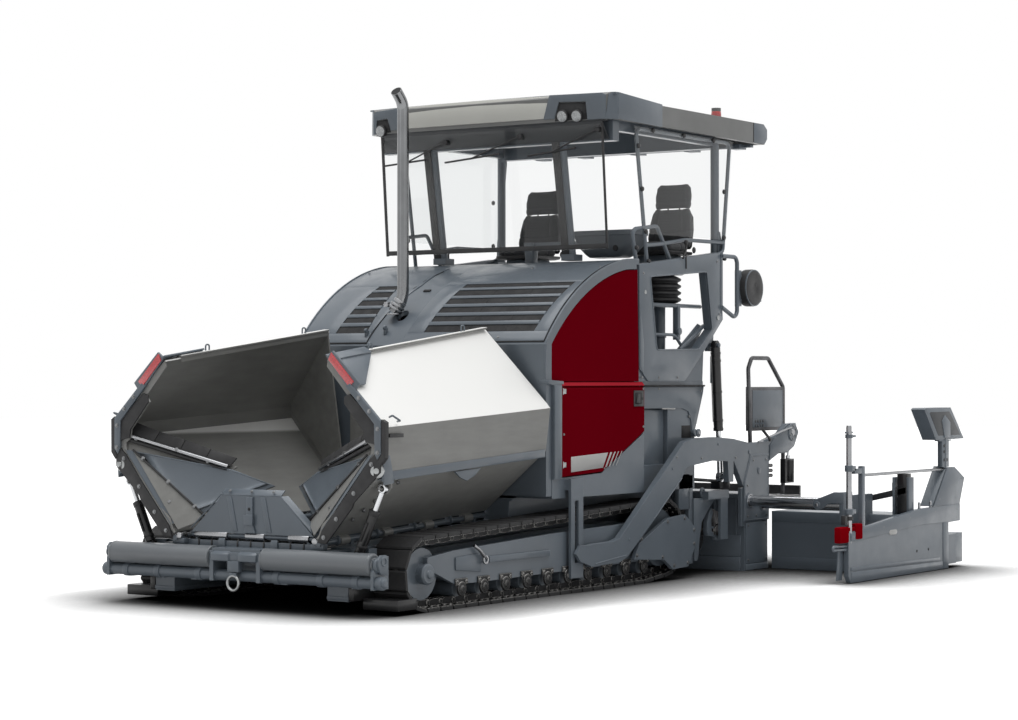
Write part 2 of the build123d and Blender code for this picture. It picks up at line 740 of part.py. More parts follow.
# Red side panels, doors, and the body below and behind them.
panel_y = hood_half_width - body_skin
pillar_front_x = hood_front_x - band_width
pillar_top_z = door_top_z + 35
for side, s in sides:
    with BuildPart() as hood_side:
        edge = band_width + panel_gap
        extrude(hood_face(edge, s * (hood_half_width - 4)), amount=s * (body_skin - 4))
        block(platform_front_x - 1, hood_front_x, s * (panel_y - 10), s * (hood_half_width + 10),
              hood_foot_z - 1, pillar_top_z + 0.3, mode=Mode.SUBTRACT)
        rear_cut = [(platform_front_x - 5, hood_top_z + 35), (platform_front_x + 20, hood_top_z - 85),
                    (door_rear_x + 60, door_top_z),
                    (platform_front_x - 5, door_top_z)]
        side_plate(rear_cut, s * (panel_y - 10), s * (hood_half_width + 10), mode=Mode.SUBTRACT)
    save(hood_side, f"hood_side_{side}")

    with BuildPart() as side_door:
        door = [
            (door_front_x, door_bottom_z), (380, door_bottom_z + 25), (door_rear_x, 1206),
            (door_rear_x, door_top_z), (door_front_x, door_top_z),
        ]
        door_y = body_half_width - door_thickness
        side_plate(door, s * door_y, s * body_half_width)
        chamfer(side_door.edges().filter_by(Axis.X).sort_by(Axis.Z)[-1], 20)
    save(side_door, f"side_door_{side}")

    with BuildPart() as fender:
        fender_outline = [
            (pillar_front_x, frame_top_z + 20), (pillar_front_x, 868), (385, 893), (door_rear_x - 4, 1192),
            (door_rear_x - 4, frame_top_z + 20),
        ]
        side_plate(fender_outline, s * (frame_outer_y + fender_drop), s * (body_half_width - fender_drop))
        block(door_front_x + panel_gap, pillar_front_x, s * (body_half_width - 80), s * (body_half_width + 12), 866,
              pillar_top_z)
        block(door_rear_x, door_front_x + panel_gap, s * (body_half_width - 80), s * (door_y - 8), 1190, 1230)
        post_rear_x = tow_post_x
        post_front_x = tow_post_x + tow_post_length
        post_outer_y = tow_post_y + tow_post_thickness
        block(post_rear_x, post_front_x, s * tow_post_y, s * post_outer_y, 115, 866)
        slot_half = arm_pin_radius + arm_pin_play
        block(arm_pivot_x - slot_half, arm_pivot_x + slot_half, s * (tow_post_y - 1), s * (post_outer_y + 1), 230, 700,
              mode=Mode.SUBTRACT)
        block(post_rear_x, post_front_x, s * (body_half_width - 60), s * tow_post_y, 780, 862)
    save(fender, f"fender_{side}")

with BuildPart() as engine_block:
    block(-50, 900, -frame_inner_y + 220, frame_inner_y - 220, frame_top_z + 20, floor_z + 150)
save(engine_block, "engine_block")

with BuildPart() as rear_body:
    rear_outline = [
        (door_rear_x - 6, frame_top_z + 20), (door_rear_x - 6, floor_z - floor_thickness),
        (-1290, floor_z - floor_thickness), (-1274, floor_z - 90), (-1140, 1200), (-1140, frame_top_z + 20),
    ]
    side_plate(rear_outline, -rear_body_half, rear_body_half)
    for side, s in sides:
        block(door_rear_x - 6, -700, s * (rear_body_half - 60), s * (rear_body_half + 1), 930, 1430, mode=Mode.SUBTRACT)
save(rear_body, "rear_body")

with BuildPart() as platform_floor:
    block(-1280, platform_front_x + 10, -rear_body_half, rear_body_half, floor_z - floor_thickness, floor_z)
    block(platform_front_x - 20, platform_front_x + 10, -rear_body_half, rear_body_half, floor_z, hood_top_z - 45)
save(platform_floor, "platform_floor")

for side, s in sides:
    y0 = rear_body_half - 20
    y1 = y0 + platform_side_thickness
    with BuildPart() as platform_side:
        knee_z = floor_z + 258
        shelf_z = floor_z + 513
        wall = [
            (platform_front_x - 2, floor_z), (-915, floor_z - 6), (-1257, knee_z), (platform_rear_x - 5, shelf_z),
            (platform_rear_x + 46, sill_z + 40), (platform_front_x - 2, sill_z - 110),
        ]
        side_plate(wall, s * (rear_body_half + 1), s * y1)
        inner_wall = [
            (platform_front_x - 22, floor_z), (-1270, floor_z), (-1290, knee_z + 22), (platform_rear_x, shelf_z),
            (platform_rear_x + 46, sill_z + 40), (platform_front_x - 22, sill_z - 110),
        ]
        side_plate(inner_wall, s * (y0 - 20), s * (rear_body_half + 1))
        window = [(-370, floor_z + 834), (-1280, floor_z + 905), (-1370, floor_z + 430), (-1145, floor_z + 268),
                  (-465, floor_z + 256)]
        side_plate(window, s * (y0 - 30), s * (y1 + 1), mode=Mode.SUBTRACT)
        ear = [(-1370, lift_top_z + 250), (-1500, lift_top_z + 250), (-1475, lift_top_z - 50),
               (-1385, lift_top_z - 50)]
        side_plate(ear, s * (y0 - 20), s * (y0 + 6))
        rod((lift_top_x, s * (y0 + 4), lift_top_z), (lift_top_x, s * (lift_y + 40), lift_top_z), lift_pin_radius)
        tube_top_z = roof_bottom_z - 26
        # columns: bend radius, points of the tube in X and Z: window frame, lower rail, front loop
        for bend, line in (
            (60, ((-388, sill_z - 100), (-213, tube_top_z - 2), (-1752, tube_top_z), (-1632, sill_z + 50),
                  (-1500, sill_z + 10))),
            (40, ((-366, sill_z + 47), (-587, sill_z + 67), (-995, sill_z + 120), (-1640, sill_z + 127))),
            (60, ((-230, sill_z - 130), (-150, sill_z + 165), (-543, sill_z + 210), (-744, sill_z - 45))),
        ):
            bent_tube([(x, s * frame_tube_y, z) for x, z in line], frame_tube_radius, bend)
        if side == "left":
            reel_y = s * (y1 + 15)
            bent_tube([(platform_rear_x + 30, reel_y, sill_z + 10), (reel_tube_x, reel_y, sill_z + 10),
                       (reel_tube_x, reel_y, sill_z - 520), (platform_rear_x + 30, reel_y, sill_z - 420)],
                      handrail_radius, 60)
            block(platform_rear_x + 10, platform_rear_x + 40, y1 - 5, reel_y, sill_z - 440, sill_z + 30)
            rod((reel_x, reel_y - 20, reel_z), (reel_x, reel_y + reel_width - 20, reel_z), reel_radius)
            block(reel_tube_x, reel_x, reel_y - 12, reel_y + 12, reel_z - 15, reel_z + 15)
    save(platform_side, f"platform_side_{side}")

    top = Vector(lift_top_x, s * lift_y, lift_top_z)
    eye = Vector(lift_eye_x, s * lift_y, lift_eye_z)
    aim = (eye - top).normalized()
    across = Vector(0, 20, 0)
    with BuildPart() as lift_barrel:
        rod(top + aim * 20, top + aim * lift_barrel_length, lift_barrel_radius)
        rod(top - across, top + across, lift_barrel_radius)
        rod(top - across, top + across, lift_pin_radius + slide_fit, mode=Mode.SUBTRACT)
        rod(top + aim * 70, top + aim * lift_barrel_length, lift_rod_radius + slide_fit, mode=Mode.SUBTRACT)
    save(lift_barrel, f"lift_barrel_{side}")

    with BuildPart() as lift_rod:
        rod(eye - aim * lift_rod_length, eye - aim * 30, lift_rod_radius)
        rod(eye - across, eye + across, 42)
        rod(eye - across, eye + across, lift_eye_pin_radius + lift_eye_play, mode=Mode.SUBTRACT)
    save(lift_rod, f"lift_rod_{side}")

# Roof on its posts, with windscreen and side glass.
with BuildPart() as roof:
    cap_rear_x = roof_front_x - roof_cap_length
    roof_outline = [
        (roof_front_x, roof_bottom_z + 10), (roof_front_x - 5, roof_top_z - 20), (roof_front_x - 35, roof_top_z),
        (cap_rear_x, roof_deck_z + 8), (cap_rear_x - 10, roof_deck_z), (roof_rear_x + 60, roof_deck_z),
        (roof_rear_x, roof_deck_z - 45), (roof_rear_x, roof_bottom_z + 50), (roof_rear_x + 50, roof_bottom_z),
    ]
    side_plate(roof_outline, -roof_half_width, roof_half_width)
    corners = roof.edges().filter_by(Axis.Z, tolerance=6)
    chamfer([edge for edge in corners if edge.center().X > roof_front_x - 20], roof_chamfer)
    block(roof_rear_x + 70, roof_front_x - 70, -roof_half_width + roof_wall, roof_half_width - roof_wall,
          roof_bottom_z - 1, roof_ceiling_z, mode=Mode.SUBTRACT)
    beacon_y = roof_half_width - 100
    rod((beacon_x, beacon_y, roof_deck_z - 30), (beacon_x, beacon_y, roof_deck_z + beacon_height), beacon_radius)
save(roof, "roof")

screen_top_z = roof_bottom_z + 9.5
post_top_z = roof_bottom_z - 20
# columns: x, y and z of a post's top, x, y and z of its foot
post_lines = (
    ((95, front_post_y, post_top_z), (-75, front_post_y, hood_top_z + 30)),
    ((rear_post_x, rear_post_y, post_top_z), (rear_post_x, rear_post_y, sill_z - 60)),
)
with BuildPart() as roof_frame:
    block(20, 110, -beam_y - 70, beam_y + 70, roof_bottom_z - 150, roof_ceiling_z)
    block(rear_post_x - 45, rear_post_x + 45, -beam_y, beam_y, roof_bottom_z - 80, roof_ceiling_z)
    for side, s in sides:
        for (x0, y0, z0), (x1, y1, z1) in post_lines:
            rod((x0, s * y0, z0), (x1, s * y1, z1), post_radius)
        block(rear_post_x, 60, s * (beam_y - 30), s * (beam_y + 30), roof_bottom_z - 60, roof_ceiling_z)
        block(rear_post_x - 40, rear_post_x + 110, s * (rear_post_y - 36), s * (rear_body_half - 40.3), sill_z - 240,
              sill_z + 20)
        block(-140, -10, s * (front_post_y - 60), s * (front_post_y + 60), hood_top_z + 0.3, hood_top_z + 50)
save(roof_frame, "roof_frame")

with BuildPart() as windscreen:
    glass = [(190, screen_top_z), (190 - glass_thickness, screen_top_z), (102, sill_z), (102 + glass_thickness, sill_z)]
    side_plate(glass, -beam_y - 20, beam_y + 20)
save(windscreen, "windscreen")

side_glass_y = frame_tube_y + frame_tube_radius + 4
stand_radius = 12
pane_top_z = roof_bottom_z - 14
pane_foot_z = sill_z + 135
pane_middle_z = (pane_top_z + pane_foot_z) / 2
pane_front_lean = 140
knob_inset = 29
# knobs on the window frame's front and top tubes, as x and z
tube_knobs = [(-433, tube_top_z), (-927, tube_top_z), (-1423, tube_top_z)]
for z in (pane_top_z - 158, pane_middle_z - 69, pane_foot_z + 20):
    lean = pane_front_lean * (pane_top_z - z) / (pane_top_z - pane_foot_z)
    tube_knobs.append((-150 - lean - knob_inset, z))
post_knob_heights = (pane_middle_z - 8, pane_foot_z + 31)
for side, s in sides:
    with BuildPart() as side_glass:
        pane = [(-150, pane_top_z), (-150 - pane_front_lean, pane_foot_z), (-1640, pane_foot_z + 10),
                (-1760, pane_top_z)]
        side_plate(pane, s * side_glass_y, s * (side_glass_y + glass_thickness))
        for x, z in tube_knobs:
            rod((x, s * (side_glass_y - 3.7), z), (x, s * (side_glass_y + 2), z), stand_radius)
        for z in post_knob_heights:
            rod((rear_post_x, s * (rear_post_y + post_radius + 0.3), z), (rear_post_x, s * (side_glass_y + 2), z),
                stand_radius)
    save(side_glass, f"side_glass_{side}")

# columns: name, y of the middle, x of the middle
for name, seat_y, seat_x in (("left", rear_body_half - 300, -1080), ("right", -rear_body_half + 680, -1100)):
    with BuildPart() as seat:
        block(seat_x - 230, seat_x + 230, seat_y - 230, seat_y + 230, sill_z, sill_z + 120)
        back = [(seat_x - 230, sill_z + 60), (seat_x - 130, sill_z + 100), (seat_x - 190, sill_z + 420),
                (seat_x - 280, sill_z + 420)]
        side_plate(back, seat_y - 220, seat_y + 220)
        head = [(seat_x - 185, sill_z + 390), (seat_x - 270, sill_z + 390), (seat_x - 290, sill_z + 620),
                (seat_x - 200, sill_z + 620)]
        side_plate(head, seat_y - 170, seat_y + 170)
    save(seat, f"seat_{name}")

    with BuildPart() as seat_base:
        rod((seat_x, seat_y, sill_z - 440), (seat_x, seat_y, sill_z - 120), 185)
        block(seat_x - 180, seat_x + 180, seat_y - 170, seat_y + 170, sill_z - 120, sill_z - 0.3)
        block(seat_x - 60, seat_x + 60, seat_y - 60, seat_y + 60, floor_z, sill_z - 390)
    save(seat_base, f"seat_base_{name}")

with BuildPart() as console:
    console_y = rear_body_half - 100
    desk = [(450, sill_z + 180), (console_y, sill_z + 180), (console_y, sill_z + 60), (console_y - 120, sill_z - 40),
            (560, sill_z - 40), (450, sill_z + 60)]
    cross_plate(desk, -620, -320)
    block(-500, -420, -60, 480, sill_z + 60, sill_z + 110)
    block(-500, -380, -60, 60, floor_z, sill_z + 110)
save(console, "console")

with BuildPart() as exhaust_pipe:
    rod((exhaust_x, exhaust_y, hood_crown_z - 200), (exhaust_x, exhaust_y, exhaust_top_z - 110), exhaust_radius)
    rod((exhaust_x, exhaust_y, exhaust_top_z - 130), (exhaust_x + 90, exhaust_y, exhaust_top_z - 30), exhaust_radius)
save(exhaust_pipe, "exhaust_pipe")

# Augers in front of the screed.
with BuildPart() as auger_frame:
    block(frame_rear_x - 350, frame_rear_x, -auger_outer_y - 30, auger_outer_y + 30, 620, 690)
    block(auger_x - 60, auger_x + 60, -45, 45, auger_z - 130, 625)
    for side, s in sides:
        block(auger_x - 60, auger_x + 60, s * (auger_outer_y + 5), s * (auger_outer_y + 30), auger_z - 70, 625)
        rod((auger_x, s * 30, auger_z), (auger_x, s * (auger_inner_y + 80), auger_z), auger_pin_radius)
        rod((auger_x, s * (auger_outer_y - 70), auger_z), (auger_x, s * (auger_outer_y + 20), auger_z),
            auger_pin_radius)
save(auger_frame, "auger_frame")

for side, s in sides:
    with BuildPart() as auger:
        rod((auger_x, s * auger_inner_y, auger_z), (auger_x, s * auger_outer_y, auger_z), auger_shaft_radius)
        disc_count = 8
        for i in range(disc_count):
            disc_y = auger_inner_y + 70 + i * (auger_outer_y - auger_inner_y - 140) / (disc_count - 1)
            tilt = Plane(origin=(auger_x, s * disc_y, auger_z), z_dir=(0.3 * s, 1, 0))
            with BuildSketch(tilt) as disc:
                Circle(auger_radius - 10)
            extrude(disc.sketch, amount=6, both=True)
        rod((auger_x, s * auger_inner_y, auger_z), (auger_x, s * (auger_inner_y + 90), auger_z),
            auger_pin_radius + slide_fit, mode=Mode.SUBTRACT)
        rod((auger_x, s * (auger_outer_y - 80), auger_z), (auger_x, s * auger_outer_y, auger_z),
            auger_pin_radius + slide_fit, mode=Mode.SUBTRACT)
    save(auger, f"auger_{side}")

# Screed on its two levelling arms.
screed_rear_x = screed_front_x - screed_depth
tube_seats = (
    (screed_front_x - 70, 590),
    (screed_front_x - 300, 560),
)
with BuildPart() as screed_main:
    half = screed_half_width
    block(screed_rear_x, screed_front_x, -half, half, 0, screed_height)
    for side, s in sides:
        block(screed_rear_x, screed_front_x + 60, s * (half - screed_side_thickness), s * half, 380, 700)
    for x, z in tube_seats:
        rod((x, -half - 1, z), (x, half + 1, z), guide_tube_radius + slide_fit, mode=Mode.SUBTRACT)
save(screed_main, "screed_main")

with BuildPart() as screed_walkway:
    walk_rear = screed_rear_x - walkway_depth
    block(walk_rear, screed_rear_x, -screed_half_width + 40, screed_half_width - 40, walkway_z,
          walkway_z + walkway_thickness)
    block(walk_rear, walk_rear + 20, -screed_half_width + 40, screed_half_width - 40, walkway_z, walkway_z + 120)
    rail_top = screed_rail_top_z
    bent_tube([(screed_rail_front_x - 60, screed_rail_y, walkway_z + 10), (screed_rail_front_x, screed_rail_y, rail_top - 90),
               (screed_rail_front_x - 60, screed_rail_y, rail_top), (screed_rail_rear_x, screed_rail_y, rail_top),
               (screed_rail_rear_x - 280, screed_rail_y, rail_top - 250),
               (screed_rail_rear_x - 280, screed_rail_y, walkway_z + 10)], handrail_radius, 50)
    block(screed_rail_rear_x - 290, screed_rail_front_x - 30, screed_rail_y - 40, screed_rail_y + 10, 1170,
          rail_top - 250)
save(screed_walkway, "screed_walkway")

for side, s in sides:
    with BuildPart() as tow_arm:
        arm = [
            (680, 300), (680, 360), (350, 368), (260, 385), (-255, 760), (-740, 1110), (-890, 1135), (-1230, 1140),
            (-1550, 1120), (-1850, 1077), (-2160, 1085), (-2360, 1130), (-2530, 1230), (-2680, 1235), (-2740, 1155),
            (-2660, 1035), (-2530, 980), (-2360, 975), (-2190, 915), (-2030, 900), (-1840, 765), (-1730, 720),
            (-1570, 930), (-1200, 945), (-890, 918), (-780, 905), (-680, 800), (-255, 498), (140, 240), (260, 200),
            (680, 190),
        ]
        side_plate(arm, s * arm_inner_y, s * (arm_inner_y + arm_thickness))
        lug_y = arm_inner_y + arm_thickness - 25
        lug = [(690, 360), (arm_pivot_x, 360), (arm_pivot_x + 60, 300), (arm_pivot_x, 240), (690, 200), (640, 200),
               (640, 360)]
        side_plate(lug, s * lug_y, s * (arm_inner_y + arm_thickness))
        rod((arm_pivot_x, s * (tow_post_y - 3), arm_pivot_z), (arm_pivot_x, s * (lug_y + 5), arm_pivot_z),
            arm_pin_radius)
        rod((lift_eye_x, s * (lift_y - 25), lift_eye_z), (lift_eye_x, s * (arm_inner_y + 5), lift_eye_z),
            lift_eye_pin_radius)
        stay = [(-1480, 760), (-1560, 760), (-1560, 960), (-1460, 960)]
        side_plate(stay, s * arm_inner_y, s * (arm_inner_y + arm_thickness))
        foot = [(-1740, 760), (-1740, 420), (-2180, 420), (-2180, 980), (-1850, 980)]
        side_plate(foot, s * screed_half_width, s * (screed_half_width + 15))
        for x, z in tube_seats:
            rod((x, s * (screed_half_width - 1), z), (x, s * (screed_half_width + 16), z), guide_tube_radius + 8,
                mode=Mode.SUBTRACT)
    save(tow_arm, f"tow_arm_{side}")

    with BuildPart() as extension:
        front = screed_rear_x - extension_gap
        block(front - extension_depth, front, s * extension_inner_y, s * extension_outer_y, 0, extension_height)
        for x, z in tube_seats:
            rod((x, s * guide_tube_inner_y, z), (x, s * guide_tube_outer_y, z), guide_tube_radius)
        block(front - 60, screed_front_x + 30, s * (guide_tube_outer_y - 40), s * guide_tube_outer_y, 440, 660)
    save(extension, f"screed_extension_{side}")

    with BuildPart() as end_gate:
        gate = [
            (end_gate_front_x, 60), (end_gate_front_x - 40, 5), (end_gate_rear_x, 5), (end_gate_rear_x, 395),
            (end_gate_rear_x - 240, 400), (end_gate_rear_x - 240, 546), (-2393, 533), (-1304, 428),
            (end_gate_front_x, 400),
        ]
        y0 = extension_outer_y
        y1 = y0 + end_gate_thickness
        side_plate(gate, s * y0, s * y1)
        riser = [(-2661, 530), (-2957, 868), (-3116, 863), (-3319, 766), (-3210, 530)]
        side_plate(riser, s * y0, s * y1)
        middle_y = s * (y0 + 20)
        # columns: radius, x and z of a bar's start, x and z of its end
        for radius, start, end in (
            (22, (-1110, 370), (-1110, 1226)),
            (18, (-1335, 410), (-1335, 924)),
            (12, (-1335, 850), (-2950, 850)),
            (25, (-2930, 860), (-2930, 1110)),
        ):
            rod((start[0], middle_y, start[1]), (end[0], middle_y, end[1]), radius)
        panel = [(-2741, 1101), (-2510, 1362), (-2540, 1375), (-3040, 1375), (-3320, 1105)]
        side_plate(panel, s * (y0 - 90), s * (y0 + 35))
        block(-3350, end_gate_rear_x - 5, s * (y0 - 100), s * (y0 + 5), 40, 290)
        block(end_gate_rear_x - 160, end_gate_rear_x + 10, s * y0, s * y1, 40, 290)
    save(end_gate, f"end_gate_{side}")
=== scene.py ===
"""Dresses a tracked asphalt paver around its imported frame.

Lengths are in metres in the frame's axes: X forward to the hopper, Y to the machine's left, Z up.
"""

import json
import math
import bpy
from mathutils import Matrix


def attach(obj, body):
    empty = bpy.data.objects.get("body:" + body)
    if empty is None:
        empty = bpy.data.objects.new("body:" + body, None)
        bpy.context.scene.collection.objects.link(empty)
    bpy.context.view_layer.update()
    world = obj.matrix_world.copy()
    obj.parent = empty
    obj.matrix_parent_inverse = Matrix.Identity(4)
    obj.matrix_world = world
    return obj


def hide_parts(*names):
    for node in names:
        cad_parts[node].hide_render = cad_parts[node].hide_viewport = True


bl_info = {
    "name": "Asphalt paver finish",
    "version": (1, 0, 0),
    "blender": (4, 5, 0),
    "location": "View3D > Sidebar > Paver",
    "description": "Materials and fine pieces of a tracked asphalt paver around its packed frame",
    "category": "Object",
}

import bmesh
import bpy
from bpy.props import FloatProperty, FloatVectorProperty, IntProperty, PointerProperty
from mathutils import Matrix, Vector

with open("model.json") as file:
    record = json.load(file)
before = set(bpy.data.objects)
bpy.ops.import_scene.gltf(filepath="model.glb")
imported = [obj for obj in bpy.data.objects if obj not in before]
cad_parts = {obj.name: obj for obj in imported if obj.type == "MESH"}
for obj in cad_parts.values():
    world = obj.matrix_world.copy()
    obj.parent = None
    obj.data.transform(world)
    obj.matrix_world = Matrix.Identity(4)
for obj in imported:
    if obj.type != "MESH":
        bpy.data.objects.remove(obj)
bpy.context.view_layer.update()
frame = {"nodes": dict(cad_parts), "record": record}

SIDES = (("left", 1), ("right", -1))


def colour(name, description, value):
    return FloatVectorProperty(
        name=name, description=description, default=value, subtype="COLOR", size=3, min=0, max=1
    )


def length(name, description, value):
    return FloatProperty(name=name, description=description, default=value, min=0,
        subtype="DISTANCE", unit="LENGTH")


class PaverColours(bpy.types.PropertyGroup):
    """Colours of the paints and mouldings."""

    body: colour("Body paint", "Blue-grey paint of the frame, hood and screed", (0.126, 0.15, 0.176))
    roller: colour("Roller paint", "Paint of the push rollers", (0.17, 0.185, 0.2))
    # The hopper's two colours below are lit and shaded copies of one warm paint: the pale one is painted
    # light on its upward faces above the fold, the warm grey is painted shade on the rest.
    hopper_lit_top: colour("Hopper outside", "Pale paint of the hopper's upper outside", (0.95, 0.95, 0.93))
    hopper_shaded: colour("Hopper inside", "Warm grey paint of the hopper's inside", (0.25, 0.25, 0.24))
    panel: colour("Side panels", "Dark red paint of the side panels and doors", (0.17, 0.0012, 0.007))
    # The lighter red below is a painted highlight: the door's chamfered top edge catching light.
    trim: colour("Panel trim", "Lighter red of the door's top edge", (0.42, 0.022, 0.035))
    roof: colour("Roof shell", "Moulded roof skin", (0.2, 0.203, 0.2))
    fabric: colour("Seat cloth", "Woven cover of the seats", (0.03, 0.032, 0.036))


class PaverSizes(bpy.types.PropertyGroup):
    """Sizes of the repeated fine pieces."""

    bolt_radius: length("Bolt radius", "Across-corner radius of a body bolt's head", 0.011)
    bolt_height: length("Bolt height", "Height of a body bolt's head", 0.008)
    edge: length("Edge radius", "Radius that softens the edges of welded plate", 0.004)
    shoe_count: IntProperty(name="Track shoes", description="Shoes on each track", default=54, min=20)


class PaverStage(bpy.types.PropertyGroup):
    """Camera and light."""

    camera_place: FloatVectorProperty(
        name="Camera", description="Place of the camera", default=(16.4457, 11.1662, 1.61736), subtype="XYZ",
        unit="LENGTH"
    )
    camera_yaw: FloatProperty(
        name="Yaw", description="Turn of the camera from the machine's long axis", default=math.radians(34),
        subtype="ANGLE", unit="ROTATION"
    )
    camera_pitch: FloatProperty(name="Pitch", description="Rise of the camera's view", default=0.00782918,
        subtype="ANGLE", unit="ROTATION")
    lens: FloatProperty(name="Lens", description="Focal length of the camera", default=86.49, unit="CAMERA")
    sky_light: FloatProperty(name="Sky light",
        description="Strength of the wide light from above", default=2.6)
    side_light: FloatProperty(
        name="Side light", description="Power of the soft light from the left", default=30, unit="POWER"
    )
    ambient: FloatProperty(name="Ambient", description="Strength of the surrounding light", default=0.3)
    # The floor's darkening near the machine is a painted shadow.
    painted_shadow_depth: FloatProperty(
        name="Shadow depth", description="How fast the floor darkens towards the machine", default=3.4
    )
    floor_gain: FloatProperty(name="Floor gain",
        description="Brightness of the floor in direct view", default=1.25)


# Mesh building
# angle in degrees past which an edge is shaded as a crease
CRISP = 32


class Shape:
    """A mesh under construction on one side of the machine, with a finish for each face."""

    def __init__(self, finish="grey_paint", side=1):
        self.mesh = bmesh.new()
        self.finishes = [finish]
        self.current = 0
        self.side = side

    def use(self, finish):
        """Give the faces made from here on another finish."""
        if finish not in self.finishes:
            self.finishes.append(finish)
        self.current = self.finishes.index(finish)
        return self

    def on(self, side):
        """Put what is made from here on on the left (1) or mirror it to the right (-1)."""
        self.side = side
        return self

    def at(self, point):
        x, y, z = point
        return Vector((x, self.side * y, z))

    def face(self, corners):
        made = self.mesh.faces.new(corners)
        made.material_index = self.current
        return made

    def loft(self, rings, closed=False):
        """Skin over rings given for the left side."""
        return self.skin([[self.at(point) for point in ring] for ring in rings], closed)

    def skin(self, rings, closed=False):
        """Skin over rings that have the same number of points, where they stand."""
        rows = [[self.mesh.verts.new(point) for point in ring] for ring in rings]
        count = len(rows[0])
        pairs = list(zip(rows, rows[1:]))
        if closed:
            pairs.append((rows[-1], rows[0]))
        for low, high in pairs:
            for index in range(count):
                after = (index + 1) % count
                self.face((low[index], low[after], high[after], high[index]))
        if not closed:
            self.face(rows[0][::-1])
            self.face(rows[-1])
        return self

    def plate(self, outline, axis, low, high):
        """Plate with a flat outline across an axis, between two places on that axis."""
        def place(point, along):
            a, b = point
            return {"x": (along, a, b), "y": (a, along, b), "z": (a, b, along)}[axis]

        return self.loft([[place(point, along) for point in outline] for along in (low, high)])

    def box(self, low, high):
        (x0, y0, z0), (x1, y1, z1) = low, high
        if self.side < 0:
            y0, y1 = y1, y0
        return self.plate(((x0, y0), (x1, y0), (x1, y1), (x0, y1)), "z", z0, z1)

    def slab(self, corners, thickness):
        """Plate through corners in space, with its thickness behind them."""
        points = [self.at(corner) for corner in corners]
        corners_in_turn = zip(points, points[1:] + points[:1], points[2:] + points[:2])
        normal = sum(((b - a).cross(c - b) for a, b, c in corners_in_turn), Vector()).normalized() * self.side
        return self.skin([points, [point - normal * thickness for point in points]])

    def spokes(self, centre, direction, radius, along, sides):
        """Ring of points round an axis, a distance along it."""
        turn = direction.to_track_quat("Z", "Y")
        ring = []
        for index in range(sides):
            angle = 2 * math.pi * index / sides
            spoke = Vector((math.cos(angle), math.sin(angle), 0)) * radius
            ring.append(centre + direction * along + turn @ spoke)
        return ring

    def turned(self, profile, start, direction, sides=28):
        """Solid of revolution from (distance along, radius) pairs."""
        start, direction = self.at(start), self.at(direction).normalized()
        return self.skin([self.spokes(start, direction, max(radius, 1e-4), along, sides)
            for along, radius in profile])

    def disc(self, radius, height, start, direction, sides=28):
        return self.turned(((0, radius), (height, radius)), start, direction, sides)

    def boss(self, radius, height, top_radius, top, start, direction, sides=28):
        """Disc whose end tapers from a height to a smaller top."""
        return self.turned(((0, radius), (height, radius), (top, top_radius)), start, direction, sides)

    def rod(self, start, end, radius, sides=20):
        run = Vector(end) - Vector(start)
        return self.turned(((0, radius), (run.length, radius)), start, run, sides)

    def tube(self, points, radius, bend=0.05, sides=12, closed=False):
        """Round bar along a path whose corners are rounded."""
        line = rounded([self.at(point) for point in points], bend, closed)
        rings = []
        up = None
        for index, point in enumerate(line):
            if closed:
                along = line[(index + 1) % len(line)] - line[index - 1]
            else:
                along = line[min(index + 1, len(line) - 1)] - line[max(index - 1, 0)]
            along.normalize()
            if up is None:
                up = along.orthogonal().normalized()
            up = (up - along * up.dot(along)).normalized()
            across = along.cross(up)
            ring = []
            for turn in range(sides):
                angle = 2 * math.pi * turn / sides
                ring.append(point + (up * math.cos(angle) + across * math.sin(angle)) * radius)
            rings.append(ring)
        return self.skin(rings, closed)

    def washer(self, centre, direction, inner, outer, thickness, sides=28):
        """Flat ring with a hole."""
        centre, direction = self.at(centre), self.at(direction).normalized()
        corners = ((inner, 0), (outer, 0), (outer, thickness), (inner, thickness))
        return self.skin([self.spokes(centre, direction, radius, along, sides)
            for radius, along in corners], True)


def rounded(points, bend, closed=False, steps=5):
    """Path through points, with each corner cut back and rounded."""
    points = [Vector(point) for point in points]
    count = len(points)
    line = [] if closed else [points[0]]
    for index in range(0 if closed else 1, count if closed else count - 1):
        before, corner, after = points[index - 1], points[index], points[(index + 1) % count]
        reach = min(bend, (before - corner).length * 0.45, (after - corner).length * 0.45)
        start = corner + (before - corner).normalized() * reach
        end = corner + (after - corner).normalized() * reach
        for step in range(steps + 1):
            share = step / steps
            line.append(start.lerp(corner, share).lerp(corner.lerp(end, share), share))
    if not closed:
        line.append(points[-1])
    return line


def soften(mesh, angle):
    """Smooth shading, with edges sharper than the angle kept crisp."""
    work = bmesh.new()
    work.from_mesh(mesh)
    for made in work.faces:
        made.smooth = True
    for edge in work.edges:
        edge.smooth = edge.is_manifold and edge.calc_face_angle(0) < angle
    work.to_mesh(mesh)
    work.free()


def settled(obj):
    """The object with its modifiers applied to its mesh."""
    bpy.context.view_layer.update()
    graph = bpy.context.evaluated_depsgraph_get()
    mesh = bpy.data.meshes.new_from_object(obj.evaluated_get(graph))
    obj.modifiers.clear()
    obj.data = mesh
    return obj


def add_object(name, mesh):
    obj = bpy.data.objects.new(name, mesh)
    bpy.context.scene.collection.objects.link(obj)
    return obj


def shaped(name, shape):
    """Object with a finished shape's mesh, its faces outwards."""
    bmesh.ops.recalc_face_normals(shape.mesh, faces=shape.mesh.faces)
    mesh = bpy.data.meshes.new(name)
    shape.mesh.to_mesh(mesh)
    shape.mesh.free()
    return add_object(name, mesh)


